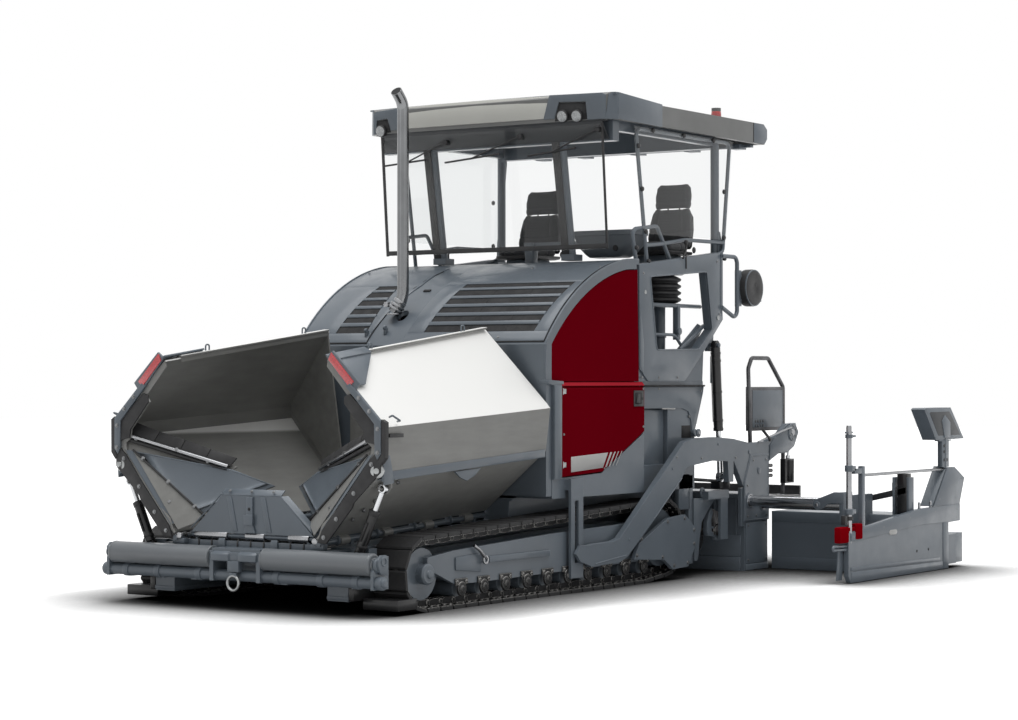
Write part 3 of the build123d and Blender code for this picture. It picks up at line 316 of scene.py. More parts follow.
def piece(name, shape, body, edge=None, replaces=(), crisp=CRISP):
    """Finish a shape as a named piece that rides on a body."""
    obj = shaped(name, shape)
    for finish in shape.finishes:
        obj.data.materials.append(bpy.data.materials[finish])
    if edge is None:
        edge = bpy.context.scene.paver_sizes.edge
    if edge:
        bevel = obj.modifiers.new("edge", "BEVEL")
        bevel.width = edge
        bevel.segments = 2
        bevel.limit_method = "ANGLE"
        bevel.angle_limit = math.radians(38)
        settled(obj)
    soften(obj.data, math.radians(crisp))
    obj.data.name = name
    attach(obj, body)
    if replaces:
        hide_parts(*replaces)
    return obj


# Materials


def toned(colour, share):
    """The colour made lighter or darker by a share, at most white."""
    return tuple(min(part * share, 1) for part in colour)


class Nodes:
    """A node tree under construction."""

    def add(self, kind, inputs=None, **settings):
        """New node, with its settings, and each input linked to a socket or set to a value."""
        node = self.tree.nodes.new(kind)
        for key, value in settings.items():
            setattr(node, key, value)
        for key, value in (inputs or {}).items():
            if isinstance(value, bpy.types.NodeSocket):
                self.tree.links.new(value, node.inputs[key])
            else:
                node.inputs[key].default_value = value
        return node


class Finish(Nodes):
    """A procedural material under construction."""

    def __init__(self, name, colour, roughness, metallic=0.0, coat=0.0):
        self.material = bpy.data.materials.new(name)
        self.material.use_nodes = True
        self.tree = self.material.node_tree
        self.shader = self.tree.nodes["Principled BSDF"]
        self.shader.inputs["Base Color"].default_value = (*colour, 1)
        self.shader.inputs["Roughness"].default_value = roughness
        self.shader.inputs["Metallic"].default_value = metallic
        self.shader.inputs["Coat Weight"].default_value = coat
        self.place = self.add("ShaderNodeTexCoord").outputs["Object"]

    def set(self, socket, value):
        self.tree.links.new(value, self.shader.inputs[socket])

    def noise(self, scale, detail=3.0, rough=0.55, stretch=None):
        place = self.place
        if stretch:
            place = self.add("ShaderNodeMapping", {"Vector": place, "Scale": stretch}).outputs[0]
        return self.add(
            "ShaderNodeTexNoise", {"Vector": place, "Scale": scale, "Detail": detail, "Roughness": rough}
        ).outputs["Fac"]

    def map(self, value, low, high, to_low=0.0, to_high=1.0):
        return self.add(
            "ShaderNodeMapRange",
            {"Value": value, "From Min": low, "From Max": high, "To Min": to_low, "To Max": to_high},
        ).outputs["Result"]

    def math(self, operation, a, b=0.0):
        return self.add("ShaderNodeMath", {0: a, 1: b}, operation=operation).outputs[0]

    def mix(self, share, a, b):
        def spread(value):
            return (*value, 1) if isinstance(value, tuple) and len(value) == 3 else value

        node = self.add("ShaderNodeMix", {0: share, 6: spread(a), 7: spread(b)}, data_type="RGBA")
        return node.outputs[2]

    def edge_mask_for_highlight_and_wear(self, radius=0.006):
        """Mask of the outer edges, and the softened normal that gives it."""
        soft = self.add("ShaderNodeBevel", {"Radius": radius}, samples=4).outputs[0]
        flat = self.add("ShaderNodeNewGeometry").outputs["True Normal"]
        facing = self.add("ShaderNodeVectorMath", {0: soft, 1: flat},
            operation="DOT_PRODUCT").outputs["Value"]
        return self.map(facing, 0.995, 0.8), soft

    def bump(self, height, distance, strength=1.0, normal=None):
        inputs = {"Height": height, "Distance": distance, "Strength": strength}
        if normal is not None:
            inputs["Normal"] = normal
        return self.add("ShaderNodeBump", inputs).outputs[0]


def painted(name, colour, roughness=0.38, coat=0.25, spread=0.1, highlight_gain=1.5):
    """Sprayed paint on plate: slow tone changes, fine orange peel, and a painted highlight that lightens the
    edges.
    """
    finish = Finish(name, colour, roughness, coat=coat)
    finish.shader.inputs["Coat Roughness"].default_value = 0.12
    finish.shader.inputs["Specular IOR Level"].default_value = 0.3
    tone = finish.map(finish.noise(1.1, 5.0), 0.3, 0.7)
    body = finish.mix(tone, toned(colour, 1 - spread), toned(colour, 1 + spread))
    edges, soft = finish.edge_mask_for_highlight_and_wear()
    # Painted highlight: the colour lightens along the edges, broken up by noise.
    rubbed = finish.math("MULTIPLY", edges, finish.map(finish.noise(38, 4.0), 0.25, 0.6, 0.35, 1.0))
    painted_highlight_colour = tuple(min(part * highlight_gain + 0.015, 1) for part in colour)
    finish.set("Base Color", finish.mix(rubbed, body, painted_highlight_colour))
    finish.set("Roughness", finish.map(finish.noise(7.0, 4.0), 0.3, 0.7, roughness - 0.07, roughness + 0.1))
    finish.set("Normal", finish.bump(finish.noise(420, 1.0), 0.0006, 0.25, soft))
    return finish


def hopper_paint(name, inside, outside):
    """One warm paint in painted light and shade: warm grey, a painted shade, inside and below, scuffed by the
    mix, and pale, a painted light, on the upward faces above the fold outside.
    """
    finish = painted(name, inside, 0.42, 0.15, 0.12, 1.35)
    split = finish.add("ShaderNodeSeparateXYZ", {0: finish.place}).outputs
    normal = finish.add("ShaderNodeNewGeometry").outputs["True Normal"]
    facing = finish.add("ShaderNodeSeparateXYZ", {0: normal}).outputs["Z"]
    # Mask of the upward faces above the fold, where light from above is painted on.
    upper = finish.math("MULTIPLY", finish.map(split["Z"], 1.2, 1.22), finish.map(facing, 0.2, 0.35))
    base = finish.shader.inputs["Base Color"].links[0].from_socket
    streaks = finish.map(finish.noise(5, 6.0, stretch=(0.5, 3.0, 3.0)), 0.35, 0.75, 0.0, 0.35)
    scuffed = finish.mix(streaks, base, toned(inside, 1.5))
    finish.set("Base Color", finish.mix(upper, scuffed, outside))
    return finish


def metal(name, colour, roughness, grain=None, grain_share=0.12, spread=0.12):
    """Bare or plated metal, with fine drawn or ground lines."""
    finish = Finish(name, colour, roughness, metallic=1.0)
    tone = finish.map(finish.noise(6, 4.0), 0.3, 0.7)
    finish.set("Base Color", finish.mix(tone, toned(colour, 1 - spread), toned(colour, 1 + spread)))
    lines = finish.noise(90, 3.0, stretch=grain or (1, 1, 1))
    finish.set("Roughness", finish.map(lines, 0.3, 0.7, max(roughness - grain_share, 0.03),
        roughness + grain_share))
    soft = finish.edge_mask_for_highlight_and_wear(0.003)[1]
    finish.set("Normal", finish.bump(lines, 0.0004, 0.2, soft))
    return finish


def worn_steel(name, colour, roughness=0.5):
    """Steel that hot mix has rubbed dark in the hollows and bright on the edges."""
    finish = metal(name, colour, roughness, spread=0.4)
    finish.shader.inputs["Metallic"].default_value = 0.8
    edges = finish.edge_mask_for_highlight_and_wear(0.006)[0]
    base = finish.shader.inputs["Base Color"].links[0].from_socket
    finish.set("Base Color", finish.mix(edges, base, (0.5, 0.49, 0.47)))
    return finish


def moulded(name, colour, roughness=0.55, grain=260, depth=0.0008, spread=0.08):
    """Moulded plastic or rubber with a fine leather-like grain."""
    finish = Finish(name, colour, roughness)
    tone = finish.map(finish.noise(3, 4.0), 0.3, 0.7)
    finish.set("Base Color", finish.mix(tone, toned(colour, 1 - spread), toned(colour, 1 + spread)))
    cells = finish.add("ShaderNodeTexVoronoi", {"Vector": finish.place, "Scale": grain}).outputs["Distance"]
    soft = finish.edge_mask_for_highlight_and_wear(0.004)[1]
    finish.set("Normal", finish.bump(cells, depth, 0.4, soft))
    finish.set("Roughness", finish.map(finish.noise(12, 3.0), 0.3, 0.7, roughness - 0.08, roughness + 0.1))
    return finish


def woven(name, colour):
    """Seat cloth: crossed threads with a soft sheen."""
    finish = Finish(name, colour, 0.85)
    finish.shader.inputs["Sheen Weight"].default_value = 0.35
    finish.shader.inputs["Sheen Roughness"].default_value = 0.5
    axes = finish.add("ShaderNodeSeparateXYZ", {0: finish.place}).outputs
    threads = None
    for axis in "XYZ":
        wave = finish.math("SINE", finish.math("MULTIPLY", axes[axis], 1400.0))
        threads = wave if threads is None else finish.math("ADD", threads, wave)
    tone = finish.map(threads, -3, 3)
    finish.set("Base Color", finish.mix(tone, toned(colour, 0.7), toned(colour, 1.35)))
    finish.set("Normal", finish.bump(threads, 0.0006, 0.5))
    return finish


def clear_glass(name):
    """Thin clear glass that keeps the view bright."""
    finish = Finish(name, (0.9, 0.94, 0.94), 0.02)
    nodes = finish.tree.nodes
    clear = finish.add("ShaderNodeBsdfTransparent", {"Color": (0.955, 0.96, 0.96, 1)})
    gloss = finish.add("ShaderNodeBsdfGlossy", {"Color": (1, 1, 1, 1), "Roughness": 0.03})
    fresnel = finish.add("ShaderNodeFresnel", {"IOR": 1.35})
    behind = finish.add("ShaderNodeNewGeometry").outputs["Backfacing"]
    share = finish.math("MULTIPLY", fresnel.outputs[0], finish.math("SUBTRACT", 1.0, behind))
    blend = finish.add("ShaderNodeMixShader", {0: share, 1: clear.outputs[0], 2: gloss.outputs[0]})
    finish.tree.links.new(blend.outputs[0], nodes["Material Output"].inputs["Surface"])
    finish.material.use_transparent_shadow = True
    return finish


def lens(name, colour, lamp_glow_and_painted_shine=0.0):
    """Coloured reflector or lamp lens with a prism pattern."""
    finish = Finish(name, colour, 0.18, coat=1.0)
    cells = finish.add("ShaderNodeTexVoronoi", {"Vector": finish.place, "Scale": 160.0}).outputs["Distance"]
    tone = finish.map(cells, 0.1, 0.6)
    finish.set("Base Color", finish.mix(tone, toned(colour, 1.35), toned(colour, 0.6)))
    finish.set("Normal", finish.bump(cells, 0.001, 0.5))
    # Emission: a lamp's light on the beacon, and a painted shine on the reflector, which is no lamp.
    if lamp_glow_and_painted_shine:
        finish.shader.inputs["Emission Color"].default_value = (*colour, 1)
        finish.shader.inputs["Emission Strength"].default_value = lamp_glow_and_painted_shine
    return finish


def make_finishes(colours):
    for material in bpy.data.materials:
        material.name = f"packed_{material.name}"
    body = tuple(colours.body)
    painted("grey_paint", body)
    painted("roller_paint", tuple(colours.roller), 0.34, 0.3)
    # The hopper's paint: lit and shaded copies of one warm paint, as painted light and shade.
    hopper_paint("light_paint", tuple(colours.hopper_shaded), tuple(colours.hopper_lit_top))
    red = painted("red_paint", tuple(colours.panel), 0.5, 0.0, 0.05, 1.5)
    red.shader.inputs["Specular IOR Level"].default_value = 0.0
    # The door's top band: a lighter red that is a painted highlight.
    trim = painted("panel_trim", tuple(colours.trim), 0.45, 0.0, 0.12)
    trim.shader.inputs["Specular IOR Level"].default_value = 0.0
    painted("roof_shell", tuple(colours.roof), 0.45, 0.1)
    painted("black_steel", (0.012, 0.012, 0.013), 0.35, 0.3, 0.15, 2.0)
    sensor = painted("sensor_red", (0.24, 0.001, 0.005), 0.5, 0.0, 0.08, 1.4)
    sensor.shader.inputs["Specular IOR Level"].default_value = 0.0
    painted("plate_white", (0.46, 0.46, 0.45), 0.4, 0.2, 0.03)
    painted("panel_white", (0.6, 0.6, 0.56), 0.4, 0.2, 0.05)
    painted("dark_paint", (0.035, 0.038, 0.042), 0.45, 0.1)
    metal("chrome_rod", (0.55, 0.56, 0.575), 0.16, (1, 1, 12), 0.05, 0.05)
    metal("bright_steel", (0.3, 0.305, 0.315), 0.28, (1, 14, 1), 0.08)
    metal("exhaust_chrome", (0.2, 0.205, 0.21), 0.17, (1, 1, 6), 0.05)
    metal("zinc", (0.3, 0.31, 0.31), 0.35)
    metal("bolt_zinc", (0.2, 0.205, 0.21), 0.4)
    worn_steel("wear_steel", (0.1, 0.1, 0.105))
    worn_steel("track_steel", (0.03, 0.03, 0.031), 0.55)
    moulded("track_rubber", (0.012, 0.012, 0.0125), 0.7, 120, 0.002, 0.25)
    moulded("pad_rubber", (0.014, 0.014, 0.015), 0.7, 120, 0.002, 0.25)
    moulded("rubber", (0.011, 0.011, 0.012), 0.6, 200, 0.001, 0.15)
    moulded("black_plastic", (0.014, 0.014, 0.015))
    moulded("console_plastic", (0.1, 0.115, 0.13), 0.5)
    # Near black: painted shade in openings, holes, gaps and recesses, and a few black parts.
    moulded("dark_inside", (0.006, 0.006, 0.007), 0.8, 60, 0.002)
    woven("seat_fabric", tuple(colours.fabric))
    clear_glass("glass")
    # The reflector's glow is painted light: it is no lamp.
    lens("reflector", (0.65, 0.02, 0.03), 0.12)
    lens("beacon_lens", (0.55, 0.03, 0.03), 0.1)
    lens("lamp_lens", (0.5, 0.52, 0.53))


def dress_nodes():
    """Give every CAD node the finish of its slot."""
    for part in frame["record"]["subparts"]:
        mesh = frame["nodes"][part["node"]].data
        mesh.materials.clear()
        mesh.materials.append(bpy.data.materials[part["material_slot"]])


# Geometry Nodes


class Tree(Nodes):
    """A Geometry Nodes tree under construction."""

    def __init__(self, name):
        self.tree = bpy.data.node_groups.new(name, "GeometryNodeTree")
        self.tree.interface.new_socket("Geometry", in_out="INPUT", socket_type="NodeSocketGeometry")
        self.tree.interface.new_socket("Geometry", in_out="OUTPUT", socket_type="NodeSocketGeometry")
        self.start = self.tree.nodes.new("NodeGroupInput")
        self.end = self.tree.nodes.new("NodeGroupOutput")
        self.inputs = {}

    def input(self, name, kind, value=None):
        socket = self.tree.interface.new_socket(name, in_out="INPUT", socket_type=f"NodeSocket{kind}")
        if value is not None:
            socket.default_value = value
        self.inputs[name] = socket.identifier
        return self.start.outputs[name]

    def finish(self, geometry, material):
        real = self.add("GeometryNodeRealizeInstances", {0: geometry})
        painted_mesh = self.add("GeometryNodeSetMaterial", {0: real.outputs[0], "Material": material})
        self.tree.links.new(painted_mesh.outputs[0], self.end.inputs[0])
        return self


def bolt_tree():
    """Hexagon heads on washers, at points that carry a direction."""
    tree = Tree("bolt_heads")
    radius = tree.input("Radius", "Float", 0.011)
    height = tree.input("Height", "Float", 0.008)
    material = tree.input("Material", "Material")
    washer_radius = tree.add("ShaderNodeMath", {0: radius, 1: 1.45}, operation="MULTIPLY").outputs[0]
    washer_height = tree.add("ShaderNodeMath", {0: height, 1: 0.5}, operation="MULTIPLY").outputs[0]
    head_height = tree.add("ShaderNodeMath", {0: height, 1: 2.4}, operation="MULTIPLY").outputs[0]
    head = tree.add("GeometryNodeMeshCylinder", {"Vertices": 6, "Radius": radius, "Depth": head_height})
    washer = tree.add("GeometryNodeMeshCylinder", {"Vertices": 14, "Radius": washer_radius,
        "Depth": washer_height})
    both = tree.add("GeometryNodeJoinGeometry")
    tree.tree.links.new(head.outputs[0], both.inputs[0])
    tree.tree.links.new(washer.outputs[0], both.inputs[0])
    direction = tree.add("GeometryNodeInputNamedAttribute", {0: "direction"}, data_type="FLOAT_VECTOR")
    aim = tree.add("FunctionNodeAlignRotationToVector", {"Vector": direction.outputs[0]}, axis="Z")
    on_points = tree.add(
        "GeometryNodeInstanceOnPoints",
        {"Points": tree.start.outputs[0], "Instance": both.outputs[0], "Rotation": aim.outputs[0]},
    )
    return tree.finish(on_points.outputs[0], material)


def repeat_tree():
    """Copies of one mesh at points that carry a turn."""
    tree = Tree("repeats")
    pattern = tree.input("Pattern", "Object")
    material = tree.input("Material", "Material")
    source = tree.add("GeometryNodeObjectInfo", {"Object": pattern})
    turn = tree.add("GeometryNodeInputNamedAttribute", {0: "turn"}, data_type="FLOAT_VECTOR")
    size = tree.add("GeometryNodeInputNamedAttribute", {0: "size"}, data_type="FLOAT_VECTOR")
    rotation = tree.add("FunctionNodeEulerToRotation", {0: turn.outputs[0]})
    on_points = tree.add(
        "GeometryNodeInstanceOnPoints",
        {
            "Points": tree.start.outputs[0],
            "Instance": source.outputs["Geometry"],
            "Rotation": rotation.outputs[0],
            "Scale": size.outputs[0],
        },
    )
    return tree.finish(on_points.outputs[0], material)


def point_mesh(name, points, **vectors):
    mesh = bpy.data.meshes.new(name)
    mesh.from_pydata([tuple(point) for point in points], [], [])
    for key, values in vectors.items():
        attribute = mesh.attributes.new(key, "FLOAT_VECTOR", "POINT")
        for index, value in enumerate(values):
            attribute.data[index].vector = value
    return mesh


def grown(name, mesh, tree, body, finish, **values):
    """A piece that a Geometry Nodes tree grows from a mesh of points."""
    obj = add_object(name, mesh)
    modifier = obj.modifiers.new("growth", "NODES")
    modifier.node_group = tree.tree
    modifier[tree.inputs["Material"]] = bpy.data.materials[finish]
    for key, value in values.items():
        modifier[tree.inputs[key]] = value
    settled(obj)
    obj.data.name = name
    soften(obj.data, math.radians(CRISP))
    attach(obj, body)
    return obj


def bolts(name, places, body, finish="bolt_zinc", scale=1.0, side=1):
    """Bolt heads at (point, direction) places, given for the left side."""
    sizes = bpy.context.scene.paver_sizes
    points, directions = ([(x, side * y, z) for x, y, z in vectors] for vectors in zip(*places))
    mesh = point_mesh(name, points, direction=directions)
    return grown(name, mesh, TREES["bolts"], body, finish, Radius=sizes.bolt_radius * scale,
        Height=sizes.bolt_height * scale)


def repeats(name, pattern, places, body, finish, sizes=None):
    """Copies of a pattern shape at (point, turn) places."""
    source = shaped(f"{name}_pattern", pattern)
    mesh = point_mesh(
        name, [p for p, t in places], turn=[t for p, t in places], size=sizes or [(1, 1, 1)] * len(places)
    )
    made = grown(name, mesh, TREES["repeats"], body, finish, Pattern=source)
    bpy.data.objects.remove(source)
    return made


TREES = {}


# Stage


def make_camera(stage):
    data = bpy.data.cameras.new("camera")
    data.lens = stage.lens
    data.sensor_width = 36
    data.clip_end = 200
    camera = add_object("camera", data)
    camera.location = stage.camera_place
    flat = math.cos(stage.camera_pitch)
    look = Vector((
        -math.cos(stage.camera_yaw) * flat, -math.sin(stage.camera_yaw) * flat, math.sin(stage.camera_pitch)
    ))
    camera.rotation_mode = "QUATERNION"
    camera.rotation_quaternion = look.to_track_quat("-Z", "Y")
    bpy.context.scene.camera = camera


def seen_directly(tree):
    """Socket that is 1 for rays that carry the background to the eye."""
    path = tree.nodes.new("ShaderNodeLightPath")
    first = tree.nodes.new("ShaderNodeMath")
    first.operation = "MAXIMUM"
    second = tree.nodes.new("ShaderNodeMath")
    second.operation = "MAXIMUM"
    tree.links.new(path.outputs["Is Camera Ray"], first.inputs[0])
    tree.links.new(path.outputs["Is Glossy Ray"], first.inputs[1])
    tree.links.new(first.outputs[0], second.inputs[0])
    tree.links.new(path.outputs["Is Transmission Ray"], second.inputs[1])
    return second.outputs[0]


def make_world(stage):
    world = bpy.data.worlds.new("studio")
    bpy.context.scene.world = world
    world.use_nodes = True
    tree = world.node_tree
    dim = tree.nodes["Background"]
    dim.inputs["Color"].default_value = (1, 1, 1, 1)
    dim.inputs["Strength"].default_value = stage.ambient
    bright = tree.nodes.new("ShaderNodeBackground")
    bright.inputs["Color"].default_value = (1, 1, 1, 1)
    blend = tree.nodes.new("ShaderNodeMixShader")
    tree.links.new(seen_directly(tree), blend.inputs[0])
    tree.links.new(dim.outputs[0], blend.inputs[1])
    tree.links.new(bright.outputs[0], blend.inputs[2])
    tree.links.new(blend.outputs[0], tree.nodes["World Output"].inputs["Surface"])


FLOOR_REACH = 60
# how far from the machine the painted shadow still darkens the floor
PAINTED_SHADOW_REACH = 1.3


def make_floor(stage):
    finish = Finish("floor", (0.86, 0.86, 0.86), 0.9)
    tree = finish.tree
    plain = finish.add("ShaderNodeBsdfDiffuse", {"Color": (0.52, 0.52, 0.52, 1)})
    # Painted shadow: in direct view the floor's colour darkens towards the machine by ambient occlusion.
    open_sky = finish.add("ShaderNodeAmbientOcclusion", {"Distance": PAINTED_SHADOW_REACH}, samples=12).outputs["AO"]
    painted_shadow = finish.math("POWER", open_sky, stage.painted_shadow_depth)
    tone = finish.mix(painted_shadow, (0.02, 0.02, 0.02), (stage.floor_gain,) * 3)
    pale = finish.add("ShaderNodeBsdfDiffuse", {"Color": tone})
    blend = finish.add("ShaderNodeMixShader", {0: seen_directly(tree),
        1: plain.outputs[0], 2: pale.outputs[0]})
    tree.links.new(blend.outputs[0], tree.nodes["Material Output"].inputs["Surface"])
    corners = [(x * FLOOR_REACH, y * FLOOR_REACH, 0) for x, y in ((-1, -1), (1, -1), (1, 1), (-1, 1))]
    mesh = bpy.data.meshes.new("floor")
    mesh.from_pydata(corners, [], [(0, 1, 2, 3)])
    mesh.materials.append(finish.material)
    add_object("floor", mesh)


def aimed(name, data, place, target):
    light = add_object(name, data)
    light.location = place
    light.rotation_mode = "QUATERNION"
    light.rotation_quaternion = (Vector(target) - Vector(place)).to_track_quat("-Z", "Y")


def make_lights(stage):
    sky = bpy.data.lights.new("sky_light", "SUN")
    sky.energy = stage.sky_light
    sky.angle = math.radians(70)
    aimed("sky_light", sky, (-0.5, 0.5, 12), (0, 0, 0))
    # columns: name, place, point aimed at, width, height, power
    for name, place, target, width, height, power in (
        ("left_light", (5.0, 13.0, 6.0), (0.5, 0.0, 1.5), 8, 6, stage.side_light),
        ("front_light", (14.0, -4.0, 5.0), (1.0, 0.0, 1.0), 6, 5, stage.side_light),
    ):
        data = bpy.data.lights.new(name, "AREA")
        data.shape = "RECTANGLE"
        data.size = width
        data.size_y = height
        data.energy = power
        aimed(name, data, place, target)


# Tracks. The loop is a belt round the idler, the sprocket and the last ground roller.
TRACK_WHEELS = ((2.71, 0.265, 0.265), (-0.54, 0.345, 0.31), (-0.22, 0.11, 0.11))
TRACK_INNER_Y = 0.915
TRACK_OUTER_Y = 1.225
TRACK_MIDDLE_Y = 1.07
ROLLER_FIRST_X = 2.29
ROLLER_LAST_X = -0.22
ROLLER_COUNT = 10
TRACK_SIDE_Y = 1.205


def track_places(count):
    """Point and turn of equally spaced places on the loop, and the distance between them."""
    tangents = []
    for index, (x0, z0, r0) in enumerate(TRACK_WHEELS):
        x1, z1, r1 = TRACK_WHEELS[(index + 1) % 3]
        length = math.hypot(x1 - x0, z1 - z0)
        tangents.append(math.atan2(z1 - z0, x1 - x0) - math.acos((r0 - r1) / length))
    runs = []
    for index, (x0, z0, r0) in enumerate(TRACK_WHEELS):
        x1, z1, r1 = TRACK_WHEELS[(index + 1) % 3]
        before, after = tangents[index - 1], tangents[index]
        while after < before:
            after += 2 * math.pi
        runs.append(("arc", (x0, z0, r0, before, after), r0 * (after - before)))
        start = Vector((x0 + r0 * math.cos(after), z0 + r0 * math.sin(after)))
        end = Vector((x1 + r1 * math.cos(after), z1 + r1 * math.sin(after)))
        runs.append(("line", (start, end, after), (end - start).length))
    total = sum(run[2] for run in runs)
    places = []
    for index in range(count):
        distance = (index + 0.5) * total / count
        for kind, shape, length in runs:
            if distance > length:
                distance -= length
                continue
            if kind == "arc":
                x0, z0, r0, before, after = shape
                angle = before + (after - before) * distance / length
                x, z = x0 + r0 * math.cos(angle), z0 + r0 * math.sin(angle)
            else:
                start, end, angle = shape
                x, z = start.lerp(end, distance / length)
            places.append(((x, 0, z), (0, math.pi / 2 - angle, 0)))
            break
    return places, total / count


def make_tracks(sizes):
    places, pitch = track_places(sizes.shoe_count)
    half = (TRACK_OUTER_Y - TRACK_INNER_Y) / 2
    gap = (ROLLER_FIRST_X - ROLLER_LAST_X) / (ROLLER_COUNT - 1)
    roller_x = [ROLLER_LAST_X + index * gap for index in range(ROLLER_COUNT)]
    for side, s in SIDES:
        middle = s * TRACK_MIDDLE_Y
        set_places = [((x, middle, z), turn) for (x, y, z), turn in places]
        shoe = Shape("pad_rubber")
        long = pitch * 0.46
        shoe.plate(((-long, -0.024), (long, -0.024), (long, -0.01), (long * 0.86, 0.0), (-long * 0.86, 0.0),
            (-long, -0.01)), "y", -half, half)
        pads = repeats(f"track_pads_{side}", shoe, set_places, "tractor", "pad_rubber")
        for vertex in pads.data.vertices:
            vertex.co.z = max(vertex.co.z, 0.0)
        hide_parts(f"track_{side}")
        link = Shape("track_steel")
        for rail in (-1, 1):
            y = rail * 0.045
            link.plate(((-pitch * 0.56, -0.068), (-pitch * 0.5, -0.028), (pitch * 0.38, -0.028),
                (pitch * 0.46, -0.075), (pitch * 0.2, -0.078), (-pitch * 0.3, -0.078)),
                "y", y - 0.011, y + 0.011)
        link.rod((pitch * 0.36, -0.062, -0.054), (pitch * 0.36, 0.062, -0.054), 0.017, 12)
        link.plate(((-pitch * 0.44, -0.03), (pitch * 0.44, -0.03), (pitch * 0.44, -0.022),
            (-pitch * 0.44, -0.022)), "y", -half * 0.97, half * 0.97)
        for end in (-1, 1):
            for along in (-0.26, 0.26):
                link.rod((pitch * along, end * 0.098, -0.038), (pitch * along, end * 0.098, -0.028), 0.011, 6)
        repeats(f"track_chain_{side}", link, set_places, "tractor", "track_steel")

        rollers = Shape("track_steel", s)
        for x in roller_x:
            rollers.turned(((0, 0.052), (0.014, 0.052), (0.018, 0.046), (0.018, 0.026), (0.028, 0.022),
                (0.028, 0.001)), (x, TRACK_SIDE_Y, 0.134), (0, 1, 0), 20)
            rollers.box((x - 0.075, TRACK_SIDE_Y, 0.165), (x + 0.075, 1.217, 0.21))
        piece(f"track_rollers_{side}", rollers, "tractor", 0.003)
        places_of_bolts = [((x + shift, 1.217, 0.186), (0, 1, 0)) for x in roller_x
            for shift in (-0.055, 0.055)]
        bolts(f"roller_bolts_{side}", places_of_bolts, "tractor", "track_steel", 0.9, side=s)

        trim = Shape("grey_paint", s)
        trim.turned(((0, 0.075), (0.02, 0.075), (0.03, 0.06), (0.03, 0.03), (0.045, 0.026), (0.045, 0.001)),
            (2.71, TRACK_SIDE_Y, 0.265), (0, 1, 0), 28)
        trim.box((1.15, TRACK_SIDE_Y, 0.3), (1.95, 1.222, 0.345))
        trim.plate(((2.05, 0.24), (2.36, 0.27), (2.36, 0.36), (2.05, 0.375)), "y", TRACK_SIDE_Y, 1.216)
        trim.use("bright_steel").tube(((2.02, 1.235, 0.335), (2.1, 1.238, 0.4),
            (2.17, 1.238, 0.435)), 0.013, 0.02)
        trim.washer((2.02, 1.226, 0.325), (0, 1, 0), 0.018, 0.034, 0.016, 20)
        piece(f"track_frame_trim_{side}", trim, "tractor", 0.003)
        bolts(f"cover_bolts_{side}", [((x, 1.269, z), (0, 1, 0)) for x, z in ((-0.02, 0.235), (-0.09, 0.36),
            (-0.5, 0.475), (-0.77, 0.49), (-0.925, 0.39), (-0.925, 0.28), (-0.82, 0.13), (-0.6, 0.12),
            (-0.42, 0.2))], "tractor", side=s)


# Push bar
# its axis, which the push rollers share in X, and the rollers' height
BAR_X = 3.2725
BAR_Z = 0.24
PUSH_ROLLER_Z = 0.363
# towing ring: height and radius of the bar's middle line, and the points on it
RING_Z = 0.19
RING_RADIUS = 0.051
RING_STEPS = 20


def make_push_bar():
    bar = Shape("grey_paint")
    for side, s in SIDES:
        bar.on(s)
        for y in (0.33, 0.72, 1.02):
            bar.disc(0.048, 0.05, (BAR_X, y, BAR_Z), (0, 1, 0), 24)
        bar.disc(0.046, 0.05, (BAR_X, 1.215, BAR_Z), (0, 1, 0), 24)
        bar.turned(((0, 0.034), (0.022, 0.034), (0.03, 0.022), (0.03, 0.001)),
            (BAR_X, 1.255, BAR_Z), (0, 1, 0), 20)
        bar.turned(((0, 0.05), (0.012, 0.05), (0.018, 0.042), (0.018, 0.02)),
            (BAR_X, 1.21, PUSH_ROLLER_Z), (0, 1, 0), 28)
        end = [(3.19, 0.29), (3.19, 0.405), (3.21, 0.43), (3.27, 0.43), (3.3, 0.4), (3.3, 0.36), (3.27, 0.3)]
        bar.plate(end, "y", 1.222, 1.24)
        bar.washer((3.235, 1.24, 0.385), (0, 1, 0), 0.02, 0.034, 0.006, 20)
        bar.plate(((3.16, 0.345), (3.3, 0.335), (3.345, 0.345), (3.345, 0.39), (3.32, 0.41),
            (3.16, 0.425)), "y", 0.045, 0.205)
    bar.on(1).box((3.17, -0.06, 0.345), (3.335, 0.06, 0.405))
    bar.box((3.295, -0.05, 0.268), (3.345, 0.05, 0.345))
    piece("push_bar_fittings", bar, "tractor", 0.006)

    ring = Shape("zinc")
    loop = [(3.3395, RING_RADIUS * math.cos(a), RING_Z + RING_RADIUS * math.sin(a))
        for a in (math.pi * (0.5 + 2 * index / RING_STEPS) for index in range(RING_STEPS))]
    ring.tube(loop, 0.011, 0.006, 12, closed=True)
    ring.use("grey_paint").box((3.3215, -0.032, 0.236), (3.3485, 0.032, 0.262))
    piece("towing_ring", ring, "tractor", 0.003, replaces=("tow_ring",))

    for side, s in SIDES:
        rings = Shape("roller_paint", s)
        for y in (0.252, 1.16):
            rings.turned(((0, 0.0795), (0.012, 0.0795), (0.016, 0.0775)), (BAR_X, y, PUSH_ROLLER_Z),
                (0, 1 if y > 1 else -1, 0), 40)
        rings.turned(((0, 0.05), (0.006, 0.05), (0.01, 0.044), (0.01, 0.03)),
            (BAR_X, 1.185, PUSH_ROLLER_Z), (0, 1, 0), 32)
        piece(f"push_roller_rings_{side}", rings, f"push_roller_{side}", 0.002)


# Hopper
FLAP_FACING = Vector((0.8, -0.48, 0.36)).normalized()


def on_flap(points, ahead):
    """Points of the left flap moved ahead of its face."""
    return [Vector(point) + FLAP_FACING * ahead for point in points]


